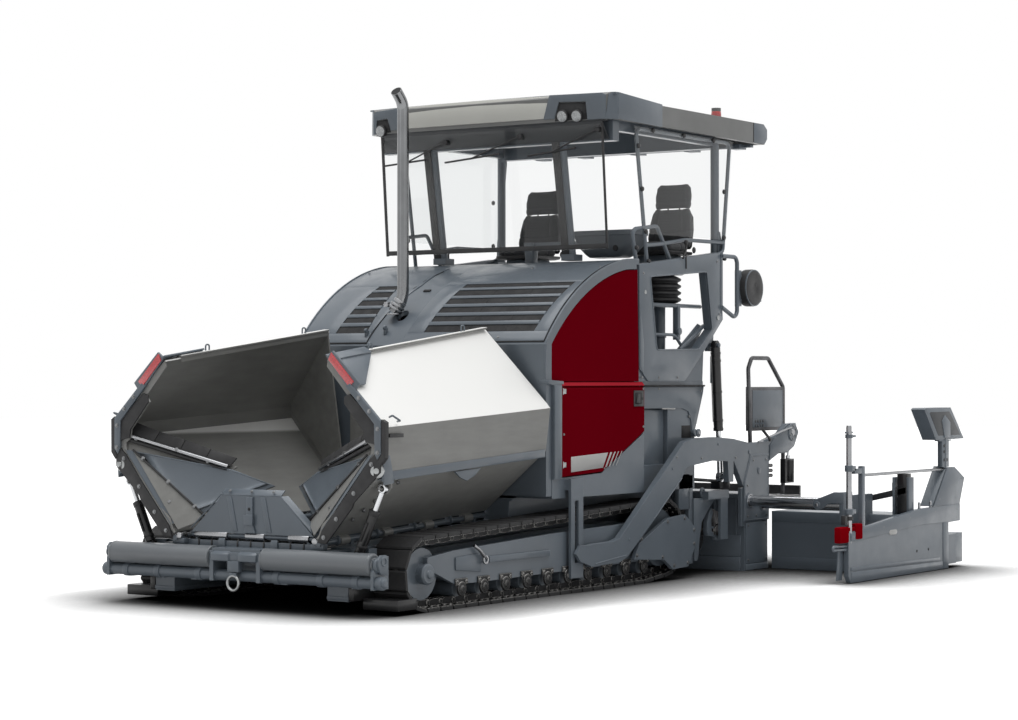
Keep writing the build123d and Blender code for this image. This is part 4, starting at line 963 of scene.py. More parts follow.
def make_hopper(side, s):
    body = f"hopper_wing_{side}"
    flap = Shape("grey_paint", s)
    flap.slab(on_flap(((3.205, 1.145, 1.1), (3.205, 0.7, 0.565), (2.728, 0.118, 0.839),
        (2.87, 0.4, 0.955)), 0.019), 0.004)
    flap.use("light_paint").slab(on_flap(((3.193, 0.637, 0.527), (3.055, 0.482, 0.607),
        (3.175, 1.105, 1.105)), 0.026), 0.006)
    flap.use("rubber").tube(on_flap(((3.177, 1.088, 1.091), (3.06, 0.493, 0.621)), 0.034), 0.008)
    strip_low = ((3.175, 1.165, 1.185), (3.09, 0.965, 1.13), (3.01, 0.785, 1.07),
        (2.93, 0.605, 1.015), (2.85, 0.44, 0.965))
    strip_high = ((3.114, 1.156, 1.298), (3.032, 0.95, 1.217), (2.955, 0.771, 1.158),
        (2.881, 0.591, 1.092), (2.8, 0.411, 1.027))
    for index in range(4):
        low_a, low_b = Vector(strip_low[index]), Vector(strip_low[index + 1])
        high_a, high_b = Vector(strip_high[index]), Vector(strip_high[index + 1])
        low_b, high_b = low_a.lerp(low_b, 0.985), high_a.lerp(high_b, 0.985)
        flap.slab(on_flap((low_a, low_b, high_b, high_a), 0.034), 0.014)
    flap.tube(on_flap(((3.181, 1.165, 1.175), (2.865, 0.455, 0.945)), 0.036), 0.016)
    flap.use("bright_steel").tube(on_flap(((3.175, 1.15, 1.195), (2.86, 0.45, 0.965)), 0.056), 0.014)
    piece(f"hopper_flap_{side}", flap, body, 0.002)
    bolts(f"flap_bolts_{side}", [(point, FLAP_FACING) for point in on_flap(((3.165, 1.0, 1.03),
        (3.125, 0.79, 0.865), (3.08, 0.58, 0.69), (3.16, 0.75, 0.72)), 0.03)] + [(point, FLAP_FACING)
        for point in on_flap(((3.14, 1.08, 1.163), (3.02, 0.8, 1.083),
        (2.92, 0.585, 1.0)), 0.062)], body, side=s)

    front = Shape("rubber", s)

    def front_plate(finish, low, high, outline):
        front.use(finish).plate(outline, "x", low, high)

    front_plate("rubber", 3.221, 3.236, ((1.165, 1.115), (1.205, 1.09), (1.205, 0.985), (0.98, 0.775),
        (0.965, 0.74), (0.74, 0.485), (0.665, 0.49), (0.7, 0.57), (0.93, 0.84), (1.115, 1.07)))
    front_plate("rubber", 3.223, 3.234, ((0.945, 1.515), (0.9, 1.5), (0.894, 1.453), (1.069, 1.252),
        (1.078, 1.19), (1.148, 1.177), (1.178, 1.149), (1.19, 1.3)))
    front_plate("grey_paint", 3.223, 3.244, ((0.915, 1.57), (0.955, 1.588), (1.215, 1.335), (1.215, 1.11),
        (1.185, 1.075), (1.165, 1.11), (1.16, 1.315)))
    front_plate("rubber", 3.2, 3.24, ((1.218, 1.345), (1.252, 1.325), (1.25, 1.085), (1.21, 1.035),
        (1.195, 1.06), (1.218, 1.11)))
    front_plate("reflector", 3.236, 3.243, ((0.945, 1.565), (0.985, 1.6), (0.79, 1.8), (0.765, 1.752)))
    front_plate("grey_paint", 3.219, 3.236, ((0.745, 1.77), (0.8, 1.812), (1.03, 1.59),
        (0.985, 1.53), (0.93, 1.56)))
    front.use("grey_paint").slab(((3.236, 0.735, 1.778), (2.8, 0.735, 1.836), (2.8, 0.8, 1.8),
        (3.236, 0.8, 1.742)), 0.012)
    front.slab(((3.236, 0.98, 1.575), (3.236, 0.8, 1.745), (2.8, 0.8, 1.8), (3.1, 0.98, 1.585)), -0.012)
    front.use("zinc").turned(((0, 0.05), (0.02, 0.05), (0.026, 0.04), (0.026, 0.022), (0.04, 0.02),
        (0.04, 0.001)), (3.205, 1.168, 0.995), (1, 0.25, 0), 28)
    front.use("grey_paint").plate(((3.09, 0.91), (3.2, 0.9), (3.215, 1.11), (3.14, 1.1)), "y", 1.206, 1.218)
    front.tube(((3.17, 1.235, 1.36), (3.19, 1.275, 1.372), (3.1, 1.275, 1.335),
        (3.08, 1.235, 1.33)), 0.007, 0.01)
    front.use("black_plastic").box((3.03, 1.234, 1.222), (3.185, 1.252, 1.248))
    piece(f"hopper_front_{side}", front, body, 0.003)
    bolts(f"hopper_front_bolts_{side}", [((3.246, y, z), (1, 0, 0))
        for y, z in ((1.03, 1.49), (1.12, 1.4), (1.19, 1.28), (1.19, 1.12))] + [((3.237, y, z), (1, 0, 0))
        for y, z in ((1.13, 1.04), (0.98, 0.84), (0.83, 0.66), (0.72, 0.53))], body, side=s)

    rim = Shape("light_paint", s)

    def rail(points, width, thickness, finish="light_paint"):
        """Flat bar along two points, set across Y."""
        (x0, y0, z0), (x1, y1, z1) = points
        rim.use(finish).loft([[(x, y + dy, z + dz) for dy, dz in ((-width / 2, 0), (width / 2, 0),
            (width / 2, thickness), (-width / 2, thickness))] for x, y, z in ((x0, y0, z0), (x1, y1, z1))])

    rail(((3.06, 0.752, 1.775), (1.335, 0.752, 1.992)), 0.05, 0.016)
    rim.slab(((3.05, 0.735, 1.79), (1.33, 0.735, 2.005), (1.33, 0.735, 1.955), (3.05, 0.735, 1.74)), 0.01)
    rail(((3.205, 1.202, 0.925), (1.2, 1.202, 1.035)), 0.016, 0.06, "grey_paint")
    rail(((3.205, 1.18, 0.932), (1.2, 1.18, 1.042)), 0.05, 0.01, "grey_paint")
    rim.use("grey_paint").plate(((2.35, 0.965), (2.02, 0.983), (2.1, 0.93), (2.2, 0.895),
        (2.28, 0.92)), "y", 1.185, 1.199)
    for x in (2.75, 1.62):
        top_z = 1.8 + (3.05 - x) * 0.126
        rim.tube(((x - 0.02, 0.752, top_z - 0.01), (x - 0.02, 0.752, top_z + 0.035),
            (x + 0.02, 0.752, top_z + 0.035), (x + 0.02, 0.752, top_z - 0.015)), 0.006, 0.02)
    for x in (2.9, 2.45, 2.0, 1.55):
        z = 0.52 + 0.055 * (3.22 - x)
        rim.use("grey_paint").turned(((0, 0.037), (0.012, 0.037), (0.016, 0.03), (0.016, 0.021)),
            (x + 0.1, 0.655, z - 0.04), (1, 0, -0.055), 20)
    piece(f"hopper_rim_{side}", rim, body, 0.003)
    bolts(f"hopper_side_bolts_{side}", [((3.05 - 0.03 * i, 0.83 + 0.075 * i, 0.645 + 0.065 * i),
        (0, 0.64, -0.77)) for i in range(5)], body, side=s)

    ram = Shape("rubber", s)
    base, eye = Vector((3.134, 0.95, 0.42)), Vector((3.134, 1.155, 0.872))
    aim = (eye - base).normalized()
    ram.boss(0.039, 0.03, 0.0365, 0.035, base + aim * 0.296, aim, 24)
    ram.turned(((0, 0.0365), (0.005, 0.039), (0.02, 0.039), (0.025, 0.0365)), base + aim * 0.05, aim, 24)
    ram.tube((base + aim * 0.1 + Vector((0.042, 0, 0)), base + aim * 0.24 + Vector((0.044, 0, 0))), 0.009)
    piece(f"hopper_ram_{side}", ram, f"hopper_barrel_{side}", 0.002)


def make_apron():
    lip = Shape("grey_paint")
    for side, s in SIDES:
        lip.slab(((3.147, s * 0.27, 0.796), (3.147, s * 0.55, 0.55), (3.1, s * 0.585, 0.552),
            (3.1, s * 0.3, 0.8)), 0.01)
    lip.slab(((3.146, -0.27, 0.797), (3.146, 0.27, 0.797), (3.104, 0.275, 0.838),
        (3.104, -0.275, 0.838)), 0.008)
    lip.plate(((-0.06, 0.53), (-0.035, 0.6), (-0.035, 0.785), (0.02, 0.785), (0.02, 0.6),
        (0.045, 0.53)), "x", 3.145, 3.16)
    lip.plate(((-0.05, 0.585), (0.03, 0.585), (0.03, 0.66), (-0.05, 0.66)), "x", 3.155, 3.172)
    for y in (-0.17, 0.14):
        lip.plate(((y, 0.54), (y + 0.045, 0.54), (y - 0.01, 0.785), (y - 0.055, 0.785)), "x", 3.144, 3.149)
    lip.use("bright_steel")
    for y0, y1 in ((-0.52, -0.22), (-0.05, 0.12), (0.34, 0.52)):
        lip.rod((3.13, y0, 0.505), (3.13, y1, 0.505), 0.0275)
    # Near-black discs: painted shade in two holes.
    lip.use("dark_inside")
    for z in (0.63, 0.7):
        lip.disc(0.012, 0.002, (3.1605, -0.006, z), (1, 0, 0), 16)
    piece("apron_lip", lip, "front_apron", 0.002)
    bolts("apron_bolts", [((3.14, y, 0.825), (0.7, 0, 0.7)) for y in (-0.2, 0.0, 0.2)],
        "front_apron", scale=0.7)

    under = Shape("dark_inside")
    under.box((3.085, -0.6, 0.46), (3.108, 0.6, 0.485))
    under.use("black_steel")
    for index in range(9):
        y = -0.48 + index * 0.12
        under.plate(((3.112, 0.41), (3.16, 0.41), (3.155, 0.47), (3.13, 0.492), (3.112, 0.47)),
            "y", y - 0.006, y + 0.006)
    under.use("grey_paint")
    for y in (-0.26, 0.22):
        under.plate(((3.15, 0.4), (3.165, 0.4), (3.165, 0.47), (3.157, 0.49), (3.15, 0.47)),
            "y", y - 0.03, y + 0.03)
    for side, s in SIDES:
        under.on(s).box((3.151, 0.58, 0.44), (3.2, 0.69, 0.478))
        under.use("bright_steel").rod((3.14, 0.62, 0.5), (3.212, 0.62, 0.495), 0.024)
        under.use("grey_paint").box((2.5, 0.695, 0.1), (3.17, 0.885, 0.125))
    piece("conveyor_sill", under, "tractor", 0.003)
    for side, s in SIDES:
        skid = Shape("black_steel", s)
        skid.box((2.85, 0.94, 0.035), (3.08, 1.24, 0.11))
        skid.plate(((2.55, 0.095), (3.17, 0.095), (3.17, 0.205), (3.0, 0.235),
            (2.55, 0.205)), "y", 0.885, 0.93)
        piece(f"front_skid_{side}", skid, "tractor", 0.006)


# Bodywork. The hood's skin is an arc from its front edge to the platform.
HOOD_CENTRE = (-0.2396, 0.809)
HOOD_RADIUS = 1.7623
HOOD_EDGE_Y = 1.184
SLAT_STATIONS = (0.667, 0.769, 0.86, 0.943, 1.017)
GRILLE_REAR = 0.59
GRILLE_FRONT = 1.08
# columns: outer edges of the panel round a grille and the grille's own edges, each as the y at
# its rear and at its front
GRILLES = (
    ((-0.12, -0.15), (0.071, 0.006), (1.093, 1.03), (1.157, 1.157)),
    ((-1.157, -1.157), (-0.791, -0.862), (-0.585, -0.55), (-0.372, -0.506)),
)


def hood_point(x, y, out=0.0):
    """Point on the hood's skin, or a height above it."""
    if x <= 0:
        return Vector((x, y, 2.555 - 0.0526 * x + out))
    centre_x, centre_z = HOOD_CENTRE
    angle = math.acos((x - centre_x) / HOOD_RADIUS)
    reach = HOOD_RADIUS + out
    return Vector((centre_x + reach * math.cos(angle), y, centre_z + reach * math.sin(angle)))


def hood_strip(shape, stations, left, right, low, high, steps=8):
    """Bent plate on the hood between two stations; each edge has a y at both of them."""
    rings = []
    for index in range(steps + 1):
        share = index / steps
        x = stations[0] + (stations[1] - stations[0]) * share
        y0 = left[0] + (left[1] - left[0]) * share
        y1 = right[0] + (right[1] - right[0]) * share
        rings.append([hood_point(x, y0, low), hood_point(x, y1, low), hood_point(x, y1, high),
            hood_point(x, y0, high)])
    shape.loft(rings)


def make_hood():
    panel = Shape("grey_paint")
    slats = Shape("grey_paint")
    dark = Shape("dark_inside")
    for outer_left, left, right, outer_right in GRILLES:
        opening = (GRILLE_REAR, GRILLE_FRONT)
        hood_strip(panel, (0.2, GRILLE_REAR), (outer_left[0], outer_left[0]),
            (outer_right[0], outer_right[0]), 0.0005, 0.006)
        hood_strip(panel, opening, outer_left, left, 0.0005, 0.006)
        hood_strip(panel, opening, right, outer_right, 0.0005, 0.006)
        hood_strip(panel, (GRILLE_FRONT, 1.142), (outer_left[1],) * 2,
            (outer_right[1],) * 2, 0.0005, 0.006, 3)
        # Near-black sheet under the slats: painted shade inside the grille.
        hood_strip(dark, opening, left, right, -0.002, 0.0008)
        for x in SLAT_STATIONS:
            share = (x - GRILLE_REAR) / (GRILLE_FRONT - GRILLE_REAR)
            y0 = left[0] + (left[1] - left[0]) * share
            y1 = right[0] + (right[1] - right[0]) * share
            slats.loft([[hood_point(x - 0.012, y, 0.001), hood_point(x + 0.012, y, 0.001),
                hood_point(x + 0.012, y, 0.007), hood_point(x - 0.006, y, 0.013),
                hood_point(x - 0.012, y, 0.012)] for y in (y0, y1)])
        # Near-black bars across the grille: painted shade as well.
        for y in (left[0] + 0.34, left[0] + 0.68):
            if y < right[0] - 0.1:
                hood_strip(dark, opening, (y, y), (y + 0.012, y + 0.012), 0.0008, 0.003)
    piece("hood_panels", panel, "tractor", 0.0025)
    piece("hood_slats", slats, "tractor", 0.002, replaces=("hood_grilles",))

    # Near-black strips in the hood's seams and edges: painted shade in the gaps.
    for stations, left, right in (((0.0, 1.142), (1.159, 1.159), (1.165, 1.165)),
            ((1.142, 1.148), (0.6, 0.6), (1.165, 1.165)), ((1.142, 1.148), (-1.157, -1.157), (-0.5, -0.5)),
            ((0.3, 1.15), (-0.362, -0.509), (-0.356, -0.503))):
        hood_strip(dark, stations, left, right, 0.0004, 0.0065)
    hood_strip(dark, (0.66, 0.682), (-0.29, -0.29), (-0.225, -0.225), 0.0005, 0.008, 2)
    piece("hood_openings", dark, "tractor", 0.0)

    trim = Shape("grey_paint")
    for side, s in SIDES:
        arc = [hood_point(-0.185 + 1.33 * i / 16, s * HOOD_EDGE_Y, 0.002) for i in range(17)]
        trim.tube(arc + [Vector((1.158, s * HOOD_EDGE_Y, 1.84)), Vector((1.158, s * HOOD_EDGE_Y,
            1.61))], 0.008, 0.02, 8)
        cap = ((0.955, 1.602), (1.163, 1.612), (1.163, 1.584), (1.1, 1.572), (1.07, 1.585), (0.955, 1.578))
        trim.plate(cap, "y", s * 1.13, s * 1.215)
        trim.plate(((0.98, 0.872), (1.08, 0.872), (1.08, 1.57), (0.98, 1.57)), "y", s * 1.2125, s * 1.2165)
    # columns: place of a small hood bracket
    for x, y in ((1.081, -0.364), (1.1, -0.535)):
        base = hood_point(x, y)
        trim.box(base - Vector((0.015, 0.012, 0.01)), base + Vector((0.015, 0.012, 0.045)))
        trim.disc(0.018, 0.02, base + Vector((0.01, -0.01, 0.045)), (0, 1, 0), 16)
    piece("hood_trim", trim, "tractor", 0.003)
    bolts("hood_bolts", [(hood_point(x, y, 0.006), hood_point(x, y, 1) - hood_point(x, y))
        for x, y in ((1.118, 0.73), (1.118, 0.2), (1.118, -0.9), (0.3, 1.13), (0.3, 0.5),
        (0.3, -1.12))], "tractor", scale=0.7)


DOOR_FACE_Y = 1.1995


def make_doors(side, s):
    body = f"side_door_{side}"
    # The band's lighter red is a painted highlight on the chamfered top edge.
    trim = Shape("panel_trim", s)
    band = ((1.162, 1.5665), (1.2008, 1.5655), (1.2, 1.572), (1.18, 1.5955), (1.162, 1.5955))
    trim.loft([[(x, y, z) for y, z in band] for x in (0.966, -0.252)])
    piece(f"door_trim_{side}", trim, body, 0.002)

    fittings = Shape("black_plastic", s)
    fittings.plate(((-0.085, 1.402), (-0.235, 1.402), (-0.235, 1.528), (-0.085, 1.528)), "y", 1.199, 1.2055)
    fittings.use("dark_inside").plate(((-0.1, 1.42), (-0.205, 1.42), (-0.205, 1.512),
        (-0.1, 1.512)), "y", 1.2055, 1.2062)
    fittings.use("black_plastic").plate(((-0.115, 1.43), (-0.17, 1.43), (-0.17, 1.5),
        (-0.135, 1.505)), "y", 1.2062, 1.211)
    fittings.boss(0.012, 0.004, 0.004, 0.004, (-0.215, 1.2055, 1.465), (0, 1, 0), 16)
    fittings.use("plate_white")
    for outline in (((0.831, 1.028), (0.3, 1.049), (0.375, 0.934), (0.831, 0.912)),
            ((0.265, 1.05), (0.239, 1.051), (0.318, 0.937), (0.342, 0.936)),
            ((0.205, 1.052), (0.185, 1.053), (0.27, 0.94), (0.288, 0.939)),
            ((0.148, 1.054), (0.136, 1.055), (0.225, 0.943), (0.235, 0.942)),
            ((0.095, 1.056), (0.088, 1.056), (0.178, 0.945), (0.184, 0.945))):
        fittings.plate(outline, "y", DOOR_FACE_Y, 1.2022)
    fittings.use("zinc")
    for z in (1.5, 0.945):
        fittings.rod((0.94, DOOR_FACE_Y, z), (0.94, DOOR_FACE_Y, z + 0.05), 0.0045, 14)
        fittings.plate(((0.9, z + 0.006), (0.94, z + 0.006), (0.94, z + 0.044), (0.9, z + 0.044)),
            "y", DOOR_FACE_Y, 1.2025)
    piece(f"door_fittings_{side}", fittings, body, 0.0015)
    bolts(f"door_bolts_{side}", [((x, 1.2, z), (0, 1, 0)) for x, z in ((0.35, 0.925), (-0.235, 1.24),
        (-0.235, 1.54), (0.93, 1.2))], body, scale=0.6, side=s)


# Exhaust: its foot on the hood, and the clamp on the leaning run above it
EXHAUST_FOOT = Vector((0.985, -0.365, 2.14))
EXHAUST_CLAMP = Vector((0.945, -0.305, 2.25))


def make_exhaust():
    pipe = Shape("exhaust_chrome")
    pipe.tube((EXHAUST_FOOT, (0.955, -0.32, 2.2), (0.94, -0.3, 2.28), (0.94, -0.3, 3.79),
        (1.03, -0.3, 3.88)), 0.046, 0.09, 32)
    # Near-black disc in the pipe's mouth: painted shade inside the pipe.
    pipe.use("dark_inside").disc(0.0405, 0.0015, (1.0295, -0.3, 3.8795), (0.707, 0, 0.707), 32)
    piece("exhaust_stack", pipe, "tractor", 0.0, replaces=("exhaust_pipe",), crisp=50)
    clamp = Shape("bright_steel")
    down = (EXHAUST_FOOT - EXHAUST_CLAMP).normalized()
    for along, radius, width in ((0.015, 0.054, 0.03), (0.055, 0.062, 0.022), (0.085, 0.062, 0.022)):
        start = EXHAUST_CLAMP + down * along
        clamp.turned(((0, 0.046), (0.003, radius), (width - 0.003, radius), (width, 0.046)), start, down, 32)
    clamp.box((0.995, -0.42, 2.185), (1.03, -0.385, 2.225))
    clamp.rod((1.01, -0.44, 2.205), (1.01, -0.33, 2.205), 0.006, 12)
    clamp.boss(0.055, 0.012, 0.02, 0.012, (0.985, -0.36, 2.135), (0, 0, -1), 28)
    piece("exhaust_clamp", clamp, "tractor", 0.002, crisp=45)


# Operator's platform
PANEL_FACE_Y = 1.187
REAR_BODY_Y = 1.1495
REAR_PLATE_Y = 1.158
STAY_Y = 1.1
# columns: outer corner and window corner of the platform's side panel, as x and z
SIDE_PANEL = (
    ((-0.197, 2.526), (-0.366, 2.438)),
    ((-0.85, 2.6), (-0.85, 2.475)),
    ((-1.51, 2.673), (-1.284, 2.509)),
    ((-1.556, 2.118), (-1.374, 2.03)),
    ((-1.257, 1.866), (-1.148, 1.864)),
    ((-0.92, 1.604), (-0.9, 1.86)),
    ((-0.33, 1.604), (-0.6, 1.854)),
    ((-0.202, 1.7), (-0.469, 1.852)),
)


def make_platform(side, s):
    panel = Shape("grey_paint", s)
    outer = [corner for corner, window in SIDE_PANEL]
    inner = [window for corner, window in SIDE_PANEL]
    panel.loft([[(x, y, z) for x, z in ring] for ring, y in ((inner, 1.174), (outer, 1.174),
        (outer, PANEL_FACE_Y), (inner, PANEL_FACE_Y))], closed=True)
    panel.tube([(x, PANEL_FACE_Y, z) for x, z in inner], 0.006, 0.03, 8, closed=True)
    lower = ((-0.205, 2.2), (-0.262, 1.89), (-0.25, 1.66), (-0.212, 1.72))
    panel.plate(lower, "y", PANEL_FACE_Y, 1.191)
    gusset = ((-1.52, 2.62), (-1.66, 2.6), (-1.675, 2.7), (-1.62, 2.858), (-1.59, 2.858), (-1.58, 2.66))
    panel.plate(gusset, "y", 1.122, 1.126)
    panel.use("zinc").disc(0.016, 0.003, (-0.29, PANEL_FACE_Y, 2.31), (0, 1, 0), 18)
    panel.boss(0.02, 0.006, 0.012, 0.006, (-1.47, PANEL_FACE_Y, 2.13), (0, 1, 0), 18)
    piece(f"platform_panel_{side}", panel, "tractor", 0.003)

    rear = Shape("grey_paint", s)
    upper = ((-0.262, 1.384), (-0.93, 1.378), (-1.03, 1.352), (-1.075, 1.27), (-1.09, 1.152), (-1.136, 1.152),
        (-1.137, 1.2), (-1.268, 1.5), (-1.283, 1.555), (-0.262, 1.555))
    rear.plate(upper, "y", REAR_BODY_Y, REAR_PLATE_Y)
    rear.plate(((-0.262, 0.725), (-0.262, 1.37), (-0.69, 1.37), (-0.69, 0.725)), "y", 1.105, 1.118)
    rear.plate(((-1.43, 1.585), (-1.545, 1.585), (-1.535, 1.8), (-1.46, 1.86),
        (-1.43, 1.8)), "y", 1.135, 1.15)
    rear.turned(((0, 0.032), (0.03, 0.032), (0.034, 0.028), (0.034, 0.014), (0.03, 0.012)),
        (-1.105, 1.15, 1.175), (0, 1, 0), 28)
    rear.box((-1.14, 1.0, 0.75), (-1.128, 1.14, 1.18))
    rear.use("plate_white").plate(((-0.6, 1.374), (-0.81, 1.371), (-0.81, 1.381), (-0.6, 1.384)),
        "y", REAR_PLATE_Y, 1.1595)
    rear.use("dark_inside").plate(((-0.925, 1.136), (-1.075, 1.136), (-1.07, 1.238), (-0.925, 1.238)),
        "y", REAR_BODY_Y, 1.1512)
    rear.plate(((-0.3, 1.556), (-1.27, 1.556), (-1.275, 1.57), (-0.3, 1.57)), "y", 1.15, 1.176)
    piece(f"rear_body_plates_{side}", rear, "tractor", 0.003)
    bolts(f"platform_bolts_{side}", [((x, PANEL_FACE_Y, z), (0, 1, 0))
        for x, z in ((-0.26, 2.46), (-0.24, 1.63), (-1.46, 2.6), (-1.5, 2.16), (-0.8, 1.63),
        (-0.5, 1.63))] + [((x, REAR_PLATE_Y, z), (0, 1, 0)) for x, z in ((-0.3, 1.41), (-1.04, 1.31),
        (-0.55, 1.54), (-1.23, 1.52))], "tractor", scale=0.7, side=s)

    stays = Shape("grey_paint", s)
    stays.tube(((-0.46, 1.09, 2.22), (-1.34, 1.09, 2.22)), 0.017, 0.02)
    stays.tube(((-0.46, STAY_Y, 1.98), (-0.9, STAY_Y, 1.98), (-1.0, STAY_Y, 1.9)), 0.013, 0.05)
    stays.tube(((-0.98, STAY_Y, 1.86), (-1.375, STAY_Y, 2.06)), 0.018, 0.02)
    stays.plate(((-0.92, 1.84), (-1.2, 1.84), (-1.37, 2.02), (-1.37, 2.06), (-1.3, 2.08)), "y", 1.085, 1.09)
    stays.box((-0.98, 1.06, 1.94), (-0.94, 1.11, 2.22))
    stays.disc(0.03, 0.025, (-0.96, 1.095, 2.01), (0, 1, 0), 22)
    piece(f"platform_stays_{side}", stays, "tractor", 0.002)

    lever = Shape("black_plastic", s)
    lever.tube(((-0.945, 1.19, 2.735), (-0.915, 1.196, 2.66), (-0.865, 1.2, 2.6)), 0.008, 0.02)
    lever.tube(((-0.93, 1.19, 2.73), (-0.935, 1.19, 2.52)), 0.007, 0.01)
    lever.boss(0.02, 0.02, 0.012, 0.026, (-0.935, 1.18, 2.735), (0, 1, 0), 20)
    for x, z in ((-0.19, 2.66), (-0.372, 2.56), (-1.62, 2.63)):
        lever.boss(0.017, 0.018, 0.012, 0.024, (x, REAR_PLATE_Y, z), (0, 1, 0), 18)
    piece(f"platform_knobs_{side}", lever, "tractor", 0.001)

    pane = Shape("glass", s)
    outline = ((-0.15, 3.624), (-0.29, 2.777), (-1.638, 2.787), (-1.758, 3.624))
    pane.plate(outline, "y", 1.1635, 1.1705)
    piece(f"side_pane_{side}", pane, "tractor", 0.0, replaces=(f"side_glass_{side}",))
    knobs = Shape("black_plastic", s)
    for x, z in ((-0.205, 3.468), (-0.262, 3.131), (-0.318, 2.795), (-0.433, 3.61), (-0.927, 3.61),
            (-1.423, 3.61), (-1.6, 3.192), (-1.6, 2.806)):
        knobs.turned(((-0.006, 0.009), (0.002, 0.02), (0.008, 0.021), (0.016, 0.017), (0.019, 0.008)),
            (x, 1.168, z), (0, 1, 0), 20)
    piece(f"side_pane_knobs_{side}", knobs, "tractor", 0.0)


def make_reel():
    reel = Shape("black_plastic")
    reel.turned(((-0.002, 0.137), (0.008, 0.157), (0.02, 0.158), (0.07, 0.158), (0.086, 0.153),
        (0.094, 0.137), (0.094, 0.05), (0.092, 0.045), (0.092, 0.001)), (-1.98, 1.171, 2.394), (0, 1, 0), 48)
    reel.boss(0.014, 0.004, 0.006, 0.004, (-1.99, 1.259, 2.42), (0, 1, 0), 16)
    reel.box((-2.13, 1.19, 2.28), (-2.07, 1.245, 2.34))
    reel.use("grey_paint").box((-1.86, 1.165, 2.235), (-1.8, 1.2, 2.54))
    piece("cable_reel", reel, "tractor", 0.003)


# Roof
LAMP_TILT = (1, 0, -0.25)
BEACON_PLACE = (-1.6, 1.1, 3.815)


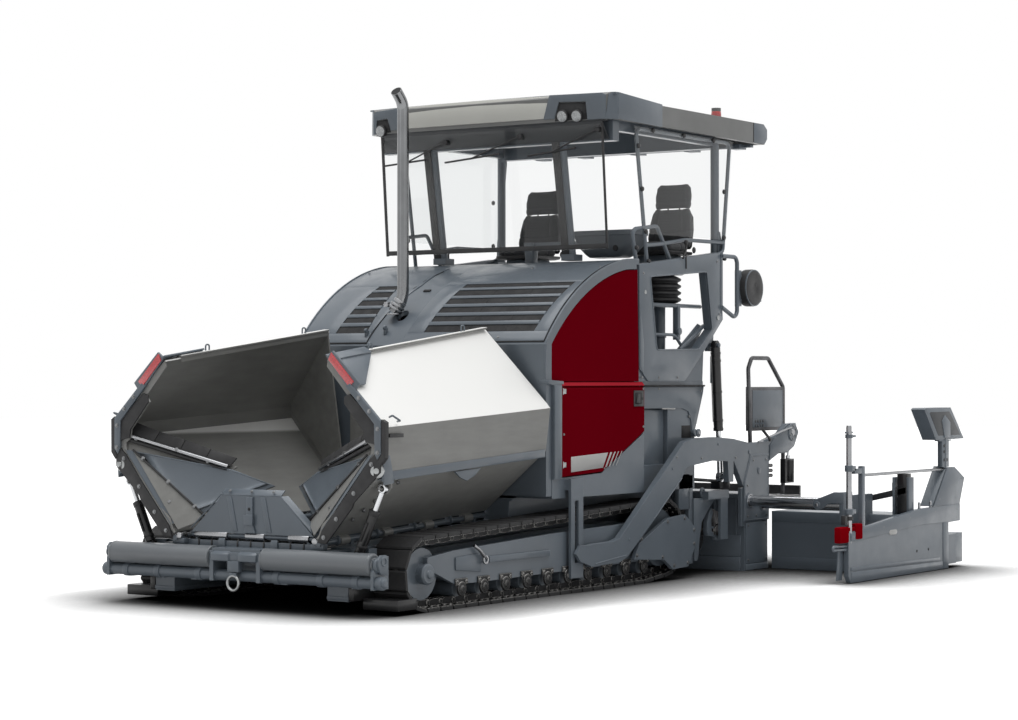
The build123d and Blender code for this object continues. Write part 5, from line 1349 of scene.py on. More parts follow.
def make_roof():
    cap = Shape("grey_paint")
    for side, s in SIDES:
        cap.on(s).plate(((-0.529, 3.642), (-0.529, 3.826), (0.148, 3.861), (0.15, 3.651)), "y", 1.199, 1.206)
        cap.slab(((0.148, 1.203, 3.648), (0.148, 1.203, 3.862), (0.205, 1.15, 3.845),
            (0.226, 1.132, 3.648)), 0.008)
    cap.on(1).plate(((1.135, 3.65), (1.135, 3.838), (1.1, 3.855), (0.61, 3.866), (0.554, 3.675),
        (0.66, 3.675), (0.7, 3.805), (0.95, 3.795), (0.965, 3.65)), "x", 0.218, 0.228)
    cap.plate(((-1.135, 3.65), (-1.135, 3.82), (-1.1, 3.84), (-0.86, 3.855), (-0.815, 3.675), (-0.955, 3.675),
        (-0.99, 3.775), (-1.1, 3.765), (-1.105, 3.65)), "x", 0.218, 0.228)
    rings = []
    for x, lift in ((-0.528, 0.0), (-0.2, 0.003), (0.12, 0.004), (0.185, 0.0)):
        ring = []
        base = 3.8225 + (x + 0.53) / 0.715 * 0.0375
        for y in (-1.2, -0.9, -0.5, 0, 0.5, 0.9, 1.2):
            ring.append((x, y, base + lift + 0.012 * (1 - (y / 1.2) ** 2)))
        ring += [(x, 1.2, base - 0.012), (x, -1.2, base - 0.012)]
        rings.append(ring)
    cap.loft(rings)
    piece("roof_cap", cap, "tractor")

    visor = Shape("panel_white")
    rings = []
    for y in (-0.84, -0.5, -0.1, 0.3, 0.585):
        swell = 0.008 * (1 - ((y + 0.13) / 0.75) ** 2)
        rings.append([(0.21, y, 3.68), (0.222 + swell, y, 3.682), (0.218 + swell, y, 3.8),
            (0.19 + swell, y, 3.862 + swell), (0.17, y, 3.862 + swell)])
    visor.loft(rings)
    piece("roof_visor", visor, "tractor", 0.003, crisp=40)

    under = Shape("dark_paint")
    under.slab(((0.205, -1.08, 3.652), (0.205, 1.08, 3.652), (0.125, 1.1, 3.5), (0.125, -1.1, 3.5)), -0.01)
    under.box((0.12, -1.1, 3.64), (0.21, 1.1, 3.655))
    piece("visor_underside", under, "tractor", 0.003)

    # Near-black plates in the cap's lamp openings: painted shade in the recesses.
    lamps = Shape("dark_inside")
    lamps.plate(((0.66, 3.655), (0.7, 3.8), (0.95, 3.79), (0.965, 3.655)), "x", 0.2202, 0.2212)
    lamps.plate(((-0.955, 3.66), (-0.99, 3.77), (-1.1, 3.76), (-1.105, 3.66)), "x", 0.2202, 0.2212)
    for y, z in ((0.879, 3.7), (0.745, 3.705), (-1.045, 3.69)):
        lamps.use("black_plastic").turned(((0, 0.044), (0.05, 0.05), (0.075, 0.05), (0.08, 0.045)),
            (0.175, y, z), LAMP_TILT, 28)
        lamps.use("lamp_lens").turned(((0, 0.044), (0.003, 0.04), (0.006, 0.02)),
            (0.252, y, z - 0.0195), LAMP_TILT, 28)
    piece("roof_lamps", lamps, "tractor", 0.0015)

    rear = Shape("grey_paint")
    for side, s in SIDES:
        rear.on(s).plate(((-2.075, 3.644), (-2.075, 3.812), (-2.258, 3.812), (-2.316, 3.772), (-2.316, 3.69),
            (-2.27, 3.645)), "y", 1.199, 1.2035)
        # Thin near-black strip: painted shade in the seam.
        rear.use("dark_inside").plate(((-2.072, 3.645), (-2.072, 3.812), (-2.076, 3.812),
            (-2.076, 3.645)), "y", 1.199, 1.2045)
        rear.use("grey_paint")
    rear.on(1)
    for y in (-1.0, -0.55, 0.0, 0.55, 1.0):
        rear.box((-2.22, y - 0.05, 3.6), (-2.1, y + 0.05, 3.642))
    rear.box((-2.22, -1.12, 3.615), (-2.17, 1.12, 3.64))
    piece("roof_rear", rear, "tractor", 0.003)

    beacon = Shape("black_plastic")
    beacon.boss(0.047, 0.012, 0.04, 0.016, BEACON_PLACE, (0, 0, 1), 32)
    beacon.use("beacon_lens").turned(((0.014, 0.043), (0.03, 0.044), (0.055, 0.041), (0.072, 0.03),
        (0.082, 0.012), (0.084, 0.001)), BEACON_PLACE, (0, 0, 1), 32)
    piece("roof_beacon", beacon, "tractor", 0.0, crisp=60)

    wipers = Shape("black_plastic")
    # columns: pivot, end of the arm, two ends of the blade, each as y and z
    for pivot, tip, start, end in (((-0.423, 3.549), (-0.816, 3.402), (-1.06, 3.385), (-0.633, 3.416)),
            ((0.309, 3.555), (-0.172, 3.401), (-0.427, 3.384), (0.108, 3.428)),
            ((1.04, 3.571), (0.61, 3.418), (0.384, 3.398), (0.838, 3.439))):
        wipers.turned(((-0.06, 0.02), (0.012, 0.022), (0.02, 0.014)), (0.19, *pivot), (1, 0, 0), 20)
        wipers.tube(((0.208, *pivot), (0.2, *tip)), 0.007, 0.01, 8)
        wipers.tube(((0.193, *start), (0.197, *end)), 0.008, 0.01, 8)
    piece("wipers", wipers, "tractor", 0.0)

    screen = Shape("glass")
    screen.plate(((0.19, 3.6495), (0.182, 3.6495), (0.102, 2.64), (0.11, 2.64)), "y", -1.08, 1.08)
    piece("windscreen_pane", screen, "tractor", 0.0, replaces=("windscreen",))
    frame_bars = Shape("black_plastic")
    frame_bars.plate(((0.1, 2.645), (0.116, 2.645), (0.119, 2.682), (0.103, 2.682)), "y", -1.08, 1.08)
    for y0, y1 in ((-1.085, -1.06), (1.066, 1.085)):
        frame_bars.plate(((0.101, 2.64), (0.112, 2.64), (0.192, 3.6495), (0.181, 3.6495)), "y", y0, y1)
    for y in (0.565, -0.695):
        frame_bars.slab(((-0.035, y, 2.6), (-0.035, y + 0.07, 2.6), (0.137, y + 0.07, 3.6),
            (0.137, y, 3.6)), -0.006)
    piece("windscreen_frame", frame_bars, "tractor", 0.002)


# Seats and console
SEATS = (("left", -1.08, 0.85), ("right", -1.1, -0.47))
SEAT_VOXEL = 0.008
# columns: height, middle in X from the seat's, half thickness, half width
BACK_RINGS = ((2.715, -0.172, 0.03, 0.2), (2.8, -0.178, 0.036, 0.215), (2.9, -0.196, 0.036, 0.21),
              (3.0, -0.214, 0.035, 0.19), (3.045, -0.222, 0.026, 0.165))
HEAD_RINGS = ((3.04, -0.226, 0.03, 0.162), (3.07, -0.23, 0.034, 0.172), (3.15, -0.238, 0.036, 0.172),
              (3.22, -0.246, 0.034, 0.162), (3.252, -0.25, 0.022, 0.135))
# columns: height, front and rear end in X, half width, corner radius
CUSHION_RINGS = ((2.668, 0.185, -0.165, 0.18, 0.06), (2.69, 0.205, -0.175, 0.205, 0.07),
                 (2.722, 0.207, -0.175, 0.207, 0.07), (2.742, 0.19, -0.165, 0.19, 0.07))


def ring_at(z, low_x, high_x, low_y, high_y, radius):
    """Level rectangle with rounded corners."""
    corners = ((low_x, low_y, z), (high_x, low_y, z), (high_x, high_y, z), (low_x, high_y, z))
    return rounded(corners, radius, closed=True)


def groove(depth, width, distance):
    return depth * math.exp(-((distance / width) ** 2))


def back_seam(point):
    """Depth of the sewn channels of the backrest at a point on it."""
    arch = abs(point.z - 2.835 - 0.4 * point.y * point.y)
    sides = abs(abs(point.y) - 0.115 - 0.1 * (2.9 - point.z))
    return groove(0.005, 0.007, arch) + groove(0.005, 0.007, sides)


def cushion_seam(point):
    return groove(0.005, 0.007, abs(point.x + 0.02)) + groove(0.005, 0.007, abs(abs(point.y) - 0.12))


def head_seam(point):
    return groove(0.004, 0.006, abs(point.z - 3.1))


def swollen(name, shape, seam, limit=0.01):
    """Closed cover filled by a cloth simulation, then sewn; no point moves further than the limit."""
    obj = shaped(name, shape)
    voxels = obj.modifiers.new("voxels", "REMESH")
    voxels.mode = "VOXEL"
    voxels.voxel_size = SEAT_VOXEL
    even = obj.modifiers.new("even", "SMOOTH")
    even.iterations = 4
    settled(obj)
    start = [vertex.co.copy() for vertex in obj.data.vertices]
    cloth = obj.modifiers.new("filling", "CLOTH")
    cloth.settings.use_pressure = True
    cloth.settings.uniform_pressure_force = 4
    cloth.settings.effector_weights.gravity = 0
    cloth.point_cache.frame_end = 20
    for step in range(1, 21):
        bpy.context.scene.frame_set(step)
    settled(obj)
    bpy.context.scene.frame_set(1)
    for vertex, place in zip(obj.data.vertices, start):
        moved = vertex.co - place
        if moved.length > limit:
            vertex.co = place + moved * (limit / moved.length)
    normals = [vertex.normal.copy() for vertex in obj.data.vertices]
    for vertex, normal in zip(obj.data.vertices, normals):
        vertex.co -= normal * seam(vertex.co)
    finer = obj.modifiers.new("finer", "SUBSURF")
    finer.levels = 1
    settled(obj)
    return obj


def padded_piece(name, source, x, y, node):
    """Copy of a swollen cover at a seat's place."""
    mesh = source.data.copy()
    mesh.transform(Matrix.Translation((x, y, 0)))
    mesh.materials.clear()
    mesh.materials.append(bpy.data.materials["seat_fabric"])
    for face in mesh.polygons:
        face.use_smooth = True
    obj = add_object(name, mesh)
    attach(obj, "tractor")
    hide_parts(node)


def make_seats():
    back = Shape("seat_fabric")
    back.loft([ring_at(z, x - depth, x + depth, -width, width, 0.03) for z, x, depth, width in BACK_RINGS])
    head = Shape("seat_fabric")
    head.loft([ring_at(z, x - depth, x + depth, -width, width, 0.03) for z, x, depth, width in HEAD_RINGS])
    cushion = Shape("seat_fabric")
    cushion.loft([ring_at(z, rear, front, -width, width, bend)
        for z, front, rear, width, bend in CUSHION_RINGS])
    covers = (("seat_back", swollen("back_cover", back, back_seam)),
        ("seat_head", swollen("head_cover", head, head_seam, 0.008)),
        ("seat_cushion", swollen("cushion_cover", cushion, cushion_seam)))
    for side, x, y in SEATS:
        for name, cover in covers:
            padded_piece(f"{name}_{side}", cover, x, y, f"seat_{side}")
        shell = Shape("black_plastic")
        shell.loft([ring_at(z, x + mid - 0.008, x + mid + 0.008, y - half, y + half, 0.02)
            for z, mid, half in ((2.7, -0.216, 0.17), (2.72, -0.219, 0.185), (2.86, -0.24, 0.19),
            (2.97, -0.26, 0.175), (3.01, -0.266, 0.15))])
        shell.loft([ring_at(z, x - 0.22 + grow, x + 0.21 - grow, y - 0.215 + grow, y + 0.215 - grow, 0.06)
            for z, grow in ((2.642, 0.03), (2.65, 0.005), (2.668, 0.0), (2.674, 0.006))])
        for across in (-0.055, 0.055):
            shell.rod((x - 0.243, y + across, 2.98), (x - 0.238, y + across, 3.08), 0.006, 12)
        for across in (-0.222, 0.222):
            shell.turned(((-0.006, 0.022), (0.0, 0.028), (0.006, 0.022)),
                (x - 0.19, y + across, 2.69), (0, 1, 0), 20)
        piece(f"seat_shell_{side}", shell, "tractor", 0.002, replaces=(f"seat_{side}",))

        base = Shape("black_plastic")
        folds = [(0.0, 0.12)]
        for fold in range(4):
            low = 0.008 + fold * 0.055
            folds += [(low, 0.152), (low + 0.016, 0.18), (low + 0.032, 0.182), (low + 0.047, 0.155)]
        folds += [(0.235, 0.12)]
        base.turned(folds, (x, y, 2.243), (0, 0, 1), 48)
        base.use("grey_paint").loft([ring_at(z, x - half, x + half, y - half, y + half, 0.05)
            for z, half in ((2.478, 0.15), (2.49, 0.166), (2.57, 0.168), (2.6, 0.15), (2.638, 0.145))])
        base.turned(((0, 0.13), (0.004, 0.18), (0.026, 0.18), (0.03, 0.17)), (x, y, 2.212), (0, 0, 1), 40)
        base.turned(((0, 0.1), (0.012, 0.1), (0.014, 0.062), (0.22, 0.05), (0.62, 0.05)),
            (x, y, 1.602), (0, 0, 1), 28)
        base.disc(0.058, 0.035, (x, y, 1.96), (0, 0, 1), 28)
        base.box((x + 0.035, y - 0.012, 1.96), (x + 0.058, y + 0.012, 1.995))
        piece(f"seat_suspension_{side}", base, "tractor", 0.002, replaces=(f"seat_base_{side}",),
            crisp=40)
    for name, cover in covers:
        bpy.data.objects.remove(cover)


def make_console():
    desk = Shape("console_plastic")
    # columns: height, low and high X, low and high Y, corner radius
    desk.loft([ring_at(*row) for row in ((2.602, -0.56, -0.36, 0.6, 0.9, 0.05),
        (2.625, -0.58, -0.345, 0.57, 0.945, 0.06), (2.7, -0.6, -0.33, 0.49, 1.02, 0.08),
        (2.775, -0.612, -0.326, 0.462, 1.04, 0.08), (2.78, -0.618, -0.321, 0.452, 1.048, 0.08),
        (2.815, -0.618, -0.321, 0.452, 1.048, 0.08), (2.82, -0.61, -0.33, 0.462, 1.04, 0.08),
        (2.812, -0.6, -0.34, 0.472, 1.03, 0.07))])
    desk.use("grey_paint").loft([ring_at(z, -0.5 + cut, -0.38 - cut, -0.06 + cut, 0.06 - cut, 0.02)
        for z, cut in ((1.602, 0), (1.62, 0.02), (2.6, 0.02), (2.745, 0.01))])
    desk.box((-0.495, -0.055, 2.705), (-0.425, 0.47, 2.745))
    desk.use("dark_inside").turned(((0, 0.024), (0.002, 0.026), (0.003, 0.018)),
        (-0.332, 0.882, 2.672), (1, 0, -0.1), 24)
    desk.plate(((-0.56, 0.7), (-0.4, 0.7), (-0.4, 0.94), (-0.56, 0.94)), "z", 2.812, 2.8185)
    desk.use("black_plastic")
    for row in range(3):
        for column in range(5):
            key_x = -0.545 + row * 0.05
            key_y = 0.5 + column * 0.034
            desk.boss(0.009, 0.006, 0.006, 0.008, (key_x, key_y, 2.812), (0, 0, 1), 14)
    desk.turned(((0, 0.02), (0.004, 0.014), (0.006, 0.006)), (-0.39, 0.99, 2.812), (0, 0, 1), 20)
    piece("console_desk", desk, "tractor", 0.002, replaces=("console",), crisp=40)


# Levelling arms, lift cylinders and augers
ARM_FACE_Y = 1.285
# columns: X and Z of the boss at the arm's rear end, and of the one by the tow post
ARM_REAR = (-2.607, 1.155)
ARM_FRONT = (-0.958, 1.179)
LIFT_Y = 1.185
AUGER_X = -1.52
AUGER_Z = 0.35


def on_arm(x, z, out=0.0):
    """Point a distance outside the left levelling arm's face."""
    return (x, ARM_FACE_Y + out, z)


def make_arms(side, s):
    arm = Shape("grey_paint", s)
    cheek = ((-2.19, 0.925), (-2.36, 0.985), (-2.53, 0.99), (-2.65, 1.045), (-2.7, 1.155), (-2.675, 1.222),
        (-2.54, 1.215), (-2.4, 1.15), (-2.27, 1.105), (-2.2, 1.05))
    arm.plate(cheek, "y", ARM_FACE_Y, ARM_FACE_Y + 0.008)
    arm.boss(0.078, 0.012, 0.072, 0.016, on_arm(*ARM_REAR), (0, 1, 0), 40)
    arm.boss(0.034, 0.012, 0.028, 0.016, on_arm(*ARM_FRONT), (0, 1, 0), 28)
    for x, z, radius in ((-0.55, 0.9, 0.012), (0.12, 0.37, 0.012), (-1.84, 1.0, 0.02), (-1.3, 1.08, 0.012)):
        arm.turned(((0, radius), (0.004, radius), (0.005, radius * 0.6)), on_arm(x, z), (0, 1, 0), 18)
    for low, high in (((-0.7, 0.82), (-0.26, 0.51)), ((0.16, 0.25), (0.62, 0.21))):
        arm.tube((on_arm(*low), on_arm(*high)), 0.0045, 0.01, 8)
    arm.use("bright_steel").boss(0.03, 0.018, 0.024, 0.022, on_arm(*ARM_REAR), (0, 1, 0), 28)
    arm.disc(0.018, 0.014, on_arm(*ARM_FRONT, 0.008), (0, 1, 0), 20)
    arm.tube((on_arm(-1.967, 1.085, 0.016), on_arm(-2.406, 1.171, 0.016),
        on_arm(-2.58, 1.2, 0.016)), 0.008, 0.05, 12)
    arm.use("black_plastic").tube((on_arm(-2.039, 1.183, 0.022), on_arm(-2.172, 1.1, 0.022)), 0.012, 0.01, 14)
    arm.disc(0.017, 0.012, on_arm(-2.172, 1.1, 0.012), (0, 1, 0), 18)
    piece(f"arm_fittings_{side}", arm, "screed", 0.002)

    ram = Shape("black_steel", s)
    for x, z, width in ((-2.205, 0.875, 0.17), (-2.205, 0.832, 0.17), (-2.205, 0.789, 0.17)):
        ram.rod(on_arm(x - width / 2, z, -0.03), on_arm(x + width / 2, z, -0.03), 0.016, 18)
    ram.box((-2.66, 1.235, 0.715), (-2.49, 1.285, 0.925))
    ram.disc(0.032, 0.19, on_arm(-2.575, 0.725, 0.004), (0, 0, 1), 28)
    ram.use("chrome_rod").rod(on_arm(-2.575, 0.925, -0.02), on_arm(-2.59, 1.1, -0.02), 0.011, 16)
    ram.disc(0.02, 0.03, on_arm(-2.575, 0.925, -0.02), (0, 0, 1), 20)
    piece(f"levelling_unit_{side}", ram, "screed", 0.002)

    bolts(f"arm_bolts_{side}", [((ARM_REAR[0] + 0.055 * math.cos(a), ARM_FACE_Y + 0.015,
        ARM_REAR[1] + 0.055 * math.sin(a)), (0, 1, 0)) for a in (0.6, 1.65, 2.7, 3.75, 4.8,
        5.85)] + [(on_arm(x, z, 0.001), (0, 1, 0)) for x, z in ((-1.02, 0.97), (-1.6, 0.96), (-0.62, 0.99))],
        "screed", scale=0.7, side=s)


def make_lift(side, s):
    top = Vector((-1.43, LIFT_Y, 1.9))
    eye = Vector((-1.51, LIFT_Y, 0.8))
    aim = (eye - top).normalized()
    barrel = Shape("black_steel", s)
    barrel.washer(top + aim * 0.69, aim, 0.0385, 0.0435, 0.026, 32)
    barrel.washer(top + aim * 0.055, aim, 0.0385, 0.0435, 0.022, 32)
    side_y = -0.044
    barrel.tube((top + aim * 0.1 + Vector((0, side_y, 0)), top + aim * 0.64 + Vector((0,
        side_y, 0))), 0.007, 0.02)
    for along in (0.12, 0.38, 0.62):
        barrel.washer(top + aim * along, aim, 0.0385, 0.0435, 0.02, 32)
    piece(f"lift_collars_{side}", barrel, f"lift_barrel_{side}", 0.0015)


def make_augers(side, s):
    flight = Shape("wear_steel", s)
    flight.rod((AUGER_X, 0.062, AUGER_Z), (AUGER_X, 1.188, AUGER_Z), 0.045, 32)
    steps = 168
    turns = 4.5
    start_y, end_y = 0.12, 1.13
    rings = []
    for step in range(steps + 1):
        share = step / steps
        angle = 2 * math.pi * turns * share * s
        y = start_y + (end_y - start_y) * share
        spoke = Vector((math.cos(angle), 0, math.sin(angle)))
        centre = Vector((AUGER_X, y, AUGER_Z))
        rings.append([centre + spoke * 0.042 + Vector((0, -0.008, 0)),
            centre + spoke * 0.18 + Vector((0, -0.006, 0)), centre + spoke * 0.18 + Vector((0, 0.006, 0)),
            centre + spoke * 0.042 + Vector((0, 0.008, 0))])
    flight.loft(rings)
    for y in (0.1, 1.12):
        flight.turned(((0, 0.045), (0.004, 0.06), (0.03, 0.06), (0.034, 0.045)),
            (AUGER_X, y, AUGER_Z), (0, 1, 0), 28)
    piece(f"auger_flight_{side}", flight, f"auger_{side}", 0.001, replaces=(f"auger_{side}",), crisp=40)


# Screed with its extensions and end gates
SCREED_FACE_Y = 1.29
# columns: place of a guide tube in X and Z
GUIDE_TUBES = ((-1.84, 0.59), (-2.07, 0.56))


def on_screed(x, z, out=0.0):
    """Point a distance outside the screed's left face."""
    return (x, SCREED_FACE_Y + out, z)


def make_screed(side, s):
    plates = Shape("grey_paint", s)
    low_y, high_y = 1.276, 1.291
    for x0, x1, z0, z1 in ((-1.772, -1.742, 0.655, 0.7), (-2.17, -2.14, 0.655, 0.7)):
        plates.box((x0, low_y, z0), (x1, high_y, z1))
    panel = ((-1.79, 0.06), (-1.79, 0.405), (-2.165, 0.405), (-2.165, 0.06))
    plates.plate(panel, "y", 1.275, 1.283)
    plates.plate(((-1.775, 0.005), (-1.775, 0.055), (-2.17, 0.055), (-2.17, 0.005)), "y", 1.275, 1.289)
    edge = ((-1.752, 0.43), (-1.752, 0.752), (-1.862, 0.968), (-2.168, 0.968), (-2.168, 0.43))
    plates.tube([on_screed(x, z) for x, z in edge], 0.004, 0.02, 8, closed=True)
    plates.boss(0.03, 0.004, 0.024, 0.006, on_screed(-2.0, 0.84), (0, 1, 0), 24)
    for x, z in GUIDE_TUBES:
        plates.washer(on_screed(x, z, -0.001), (0, 1, 0), 0.054, 0.069, 0.007, 36)
    plates.use("bright_steel")
    for x, z in GUIDE_TUBES:
        plates.washer(on_screed(x, z, 0.004), (0, 1, 0), 0.0475, 0.056, 0.006, 36)
    piece(f"screed_side_{side}", plates, "screed", 0.002)

    front = Shape("grey_paint", s)
    low_y, high_y = 0.06, 1.24
    front.box((-1.771, low_y, 0.0), (-1.752, high_y, 0.115))
    front.box((-1.771, low_y, 0.615), (-1.757, high_y, 0.645))
    front.slab([(-1.756, low_y, 0.118), (-1.756, high_y, 0.118), (-1.768, high_y, 0.3),
        (-1.768, low_y, 0.3)], 0.005)
    for y in (0.18, 0.45, 0.72, 0.99, 1.2):
        across = y - 0.008, y + 0.008
        front.box((-1.771, across[0], 0.3), (-1.755, across[1], 0.615))
    front.use("black_steel")
    for y in (0.32, 0.86):
        front.boss(0.05, 0.02, 0.04, 0.024, (-1.771, y, 0.46), (1, 0, 0), 28)
    piece(f"screed_front_{side}", front, "screed", 0.002)

    hooks = Shape("grey_paint", s)
    hook = ((-1.103, 0.636), (-1.464, 0.622), (-1.384, 0.564), (-1.236, 0.437), (-1.2, 0.3), (-1.18, 0.164),
        (-1.16, 0.12), (-1.115, 0.12))
    hooks.plate(hook, "y", 1.15, 1.166)
    hooks.plate(((-0.885, 0.837), (-1.055, 0.84), (-1.058, 0.55), (-0.885, 0.55)), "y", 1.11, 1.15)
    column = ((-1.046, 0.83), (-1.112, 0.83), (-1.112, 0.1), (-1.046, 0.1))
    hooks.plate(column, "y", 1.11, 1.15)
    hooks.washer((-1.259, 1.15, 0.68), (0, 1, 0), 0.018, 0.04, 0.014, 28)
    horn = ((-1.429, 0.545), (-1.385, 0.5), (-1.355, 0.43), (-1.35, 0.36), (-1.365, 0.315), (-1.5, 0.3),
        (-1.5, 0.335), (-1.43, 0.345), (-1.425, 0.44), (-1.455, 0.5))
    hooks.plate(horn, "y", 1.11, 1.15)
    hooks.turned(((0, 0.055), (0.03, 0.055), (0.036, 0.045), (0.036, 0.02)),
        (-1.53, 1.12, 0.32), (0, 1, 0), 28)
    hooks.box((-1.6, 1.1, 0.37), (-1.42, 1.15, 0.385))
    hooks.use("black_steel").box((-1.71, 1.08, 0.7), (-1.535, 1.17, 0.775))
    hooks.rod((-1.136, 1.14, 0.79), (-1.52, 1.14, 0.765), 0.014, 16)
    piece(f"auger_guard_{side}", hooks, "tractor", 0.002)

    bolts(f"screed_bolts_{side}", [(on_screed(x, z), (0, 1, 0))
        for x, z in ((-1.8, 0.46), (-1.8, 0.72), (-2.13, 0.46), (-2.13, 0.93), (-1.9, 0.93),
        (-1.95, 0.46))] + [((x, 1.283, z), (0, 1, 0)) for x, z in ((-1.82, 0.38), (-2.14, 0.38),
        (-1.82, 0.09), (-2.14, 0.09))], "screed", scale=0.7, side=s)


TUBE_START_Y = 1.16
TUBE_END_Y = 2.188
EXTENSION_FACE_X = -2.19


def make_extensions(side, s):
    body = f"extension_{side}"
    tubes = Shape("chrome_rod", s)
    for x, z in GUIDE_TUBES:
        tubes.turned(((0, 0.0452), (TUBE_END_Y - TUBE_START_Y, 0.0452)), (x, TUBE_START_Y, z), (0, 1, 0), 48)
    piece(f"guide_tubes_{side}", tubes, body, 0.0, crisp=50)

    front = Shape("grey_paint", s)
    low_y, high_y = 1.315, 2.545
    front.box((EXTENSION_FACE_X - 0.002, low_y, 0.001), (EXTENSION_FACE_X + 0.003, high_y, 0.1))
    front.box((EXTENSION_FACE_X - 0.002, low_y, 0.4), (EXTENSION_FACE_X + 0.004, high_y, 0.487))
    bracket = ((1.955, 0.58), (1.975, 0.545), (2.01, 0.54), (2.05, 0.555), (2.09, 0.59), (2.13, 0.6),
        (2.235, 0.6), (2.235, 0.69), (2.15, 0.69), (2.02, 0.64), (1.97, 0.622))
    front.plate(bracket, "x", -1.7, -1.69)
    mount = ((2.195, 0.45), (2.235, 0.45), (2.235, 0.69), (2.195, 0.69))
    front.plate(mount, "x", -1.86, -1.695)
    front.boss(0.03, 0.005, 0.02, 0.007, (-1.69, 1.995, 0.58), (1, 0, 0), 28)
    front.use("bright_steel").disc(0.014, 0.006, (-1.685, 1.995, 0.58), (1, 0, 0), 20)
    for y in (2.395, 2.415):
        front.boss(0.011, 0.07, 0.004, 0.08, (-2.3, y, 0.68), (0, 0, 1), 14)
    front.use("dark_paint")
    slot_bar = ((2.18, 0.59), (2.52, 0.665), (2.52, 0.72), (2.18, 0.64))
    front.plate(slot_bar, "x", -2.3, -2.28)
    front.use("black_steel").box((-2.36, 2.44, 0.49), (-2.28, 2.53, 0.83))
    front.use("grey_paint")
    for y in (2.4, 2.53):
        front.box((-2.37, y, 0.49), (-2.27, y + 0.02, 0.8))
    piece(f"extension_front_{side}", front, body, 0.002)
    bolts(f"extension_bolts_{side}", [((EXTENSION_FACE_X - 0.003, y, 0.445), (1, 0, 0))
        for y in (1.36, 1.6, 1.84, 2.08, 2.32, 2.5)], body, scale=0.7, side=s)


GATE_FACE_Y = 2.59
MAST_X = -1.11
MAST_Y = 2.57


def on_gate(x, z, out=0.0):
    """Point a distance outside the left end gate's face."""
    return (x, GATE_FACE_Y + out, z)


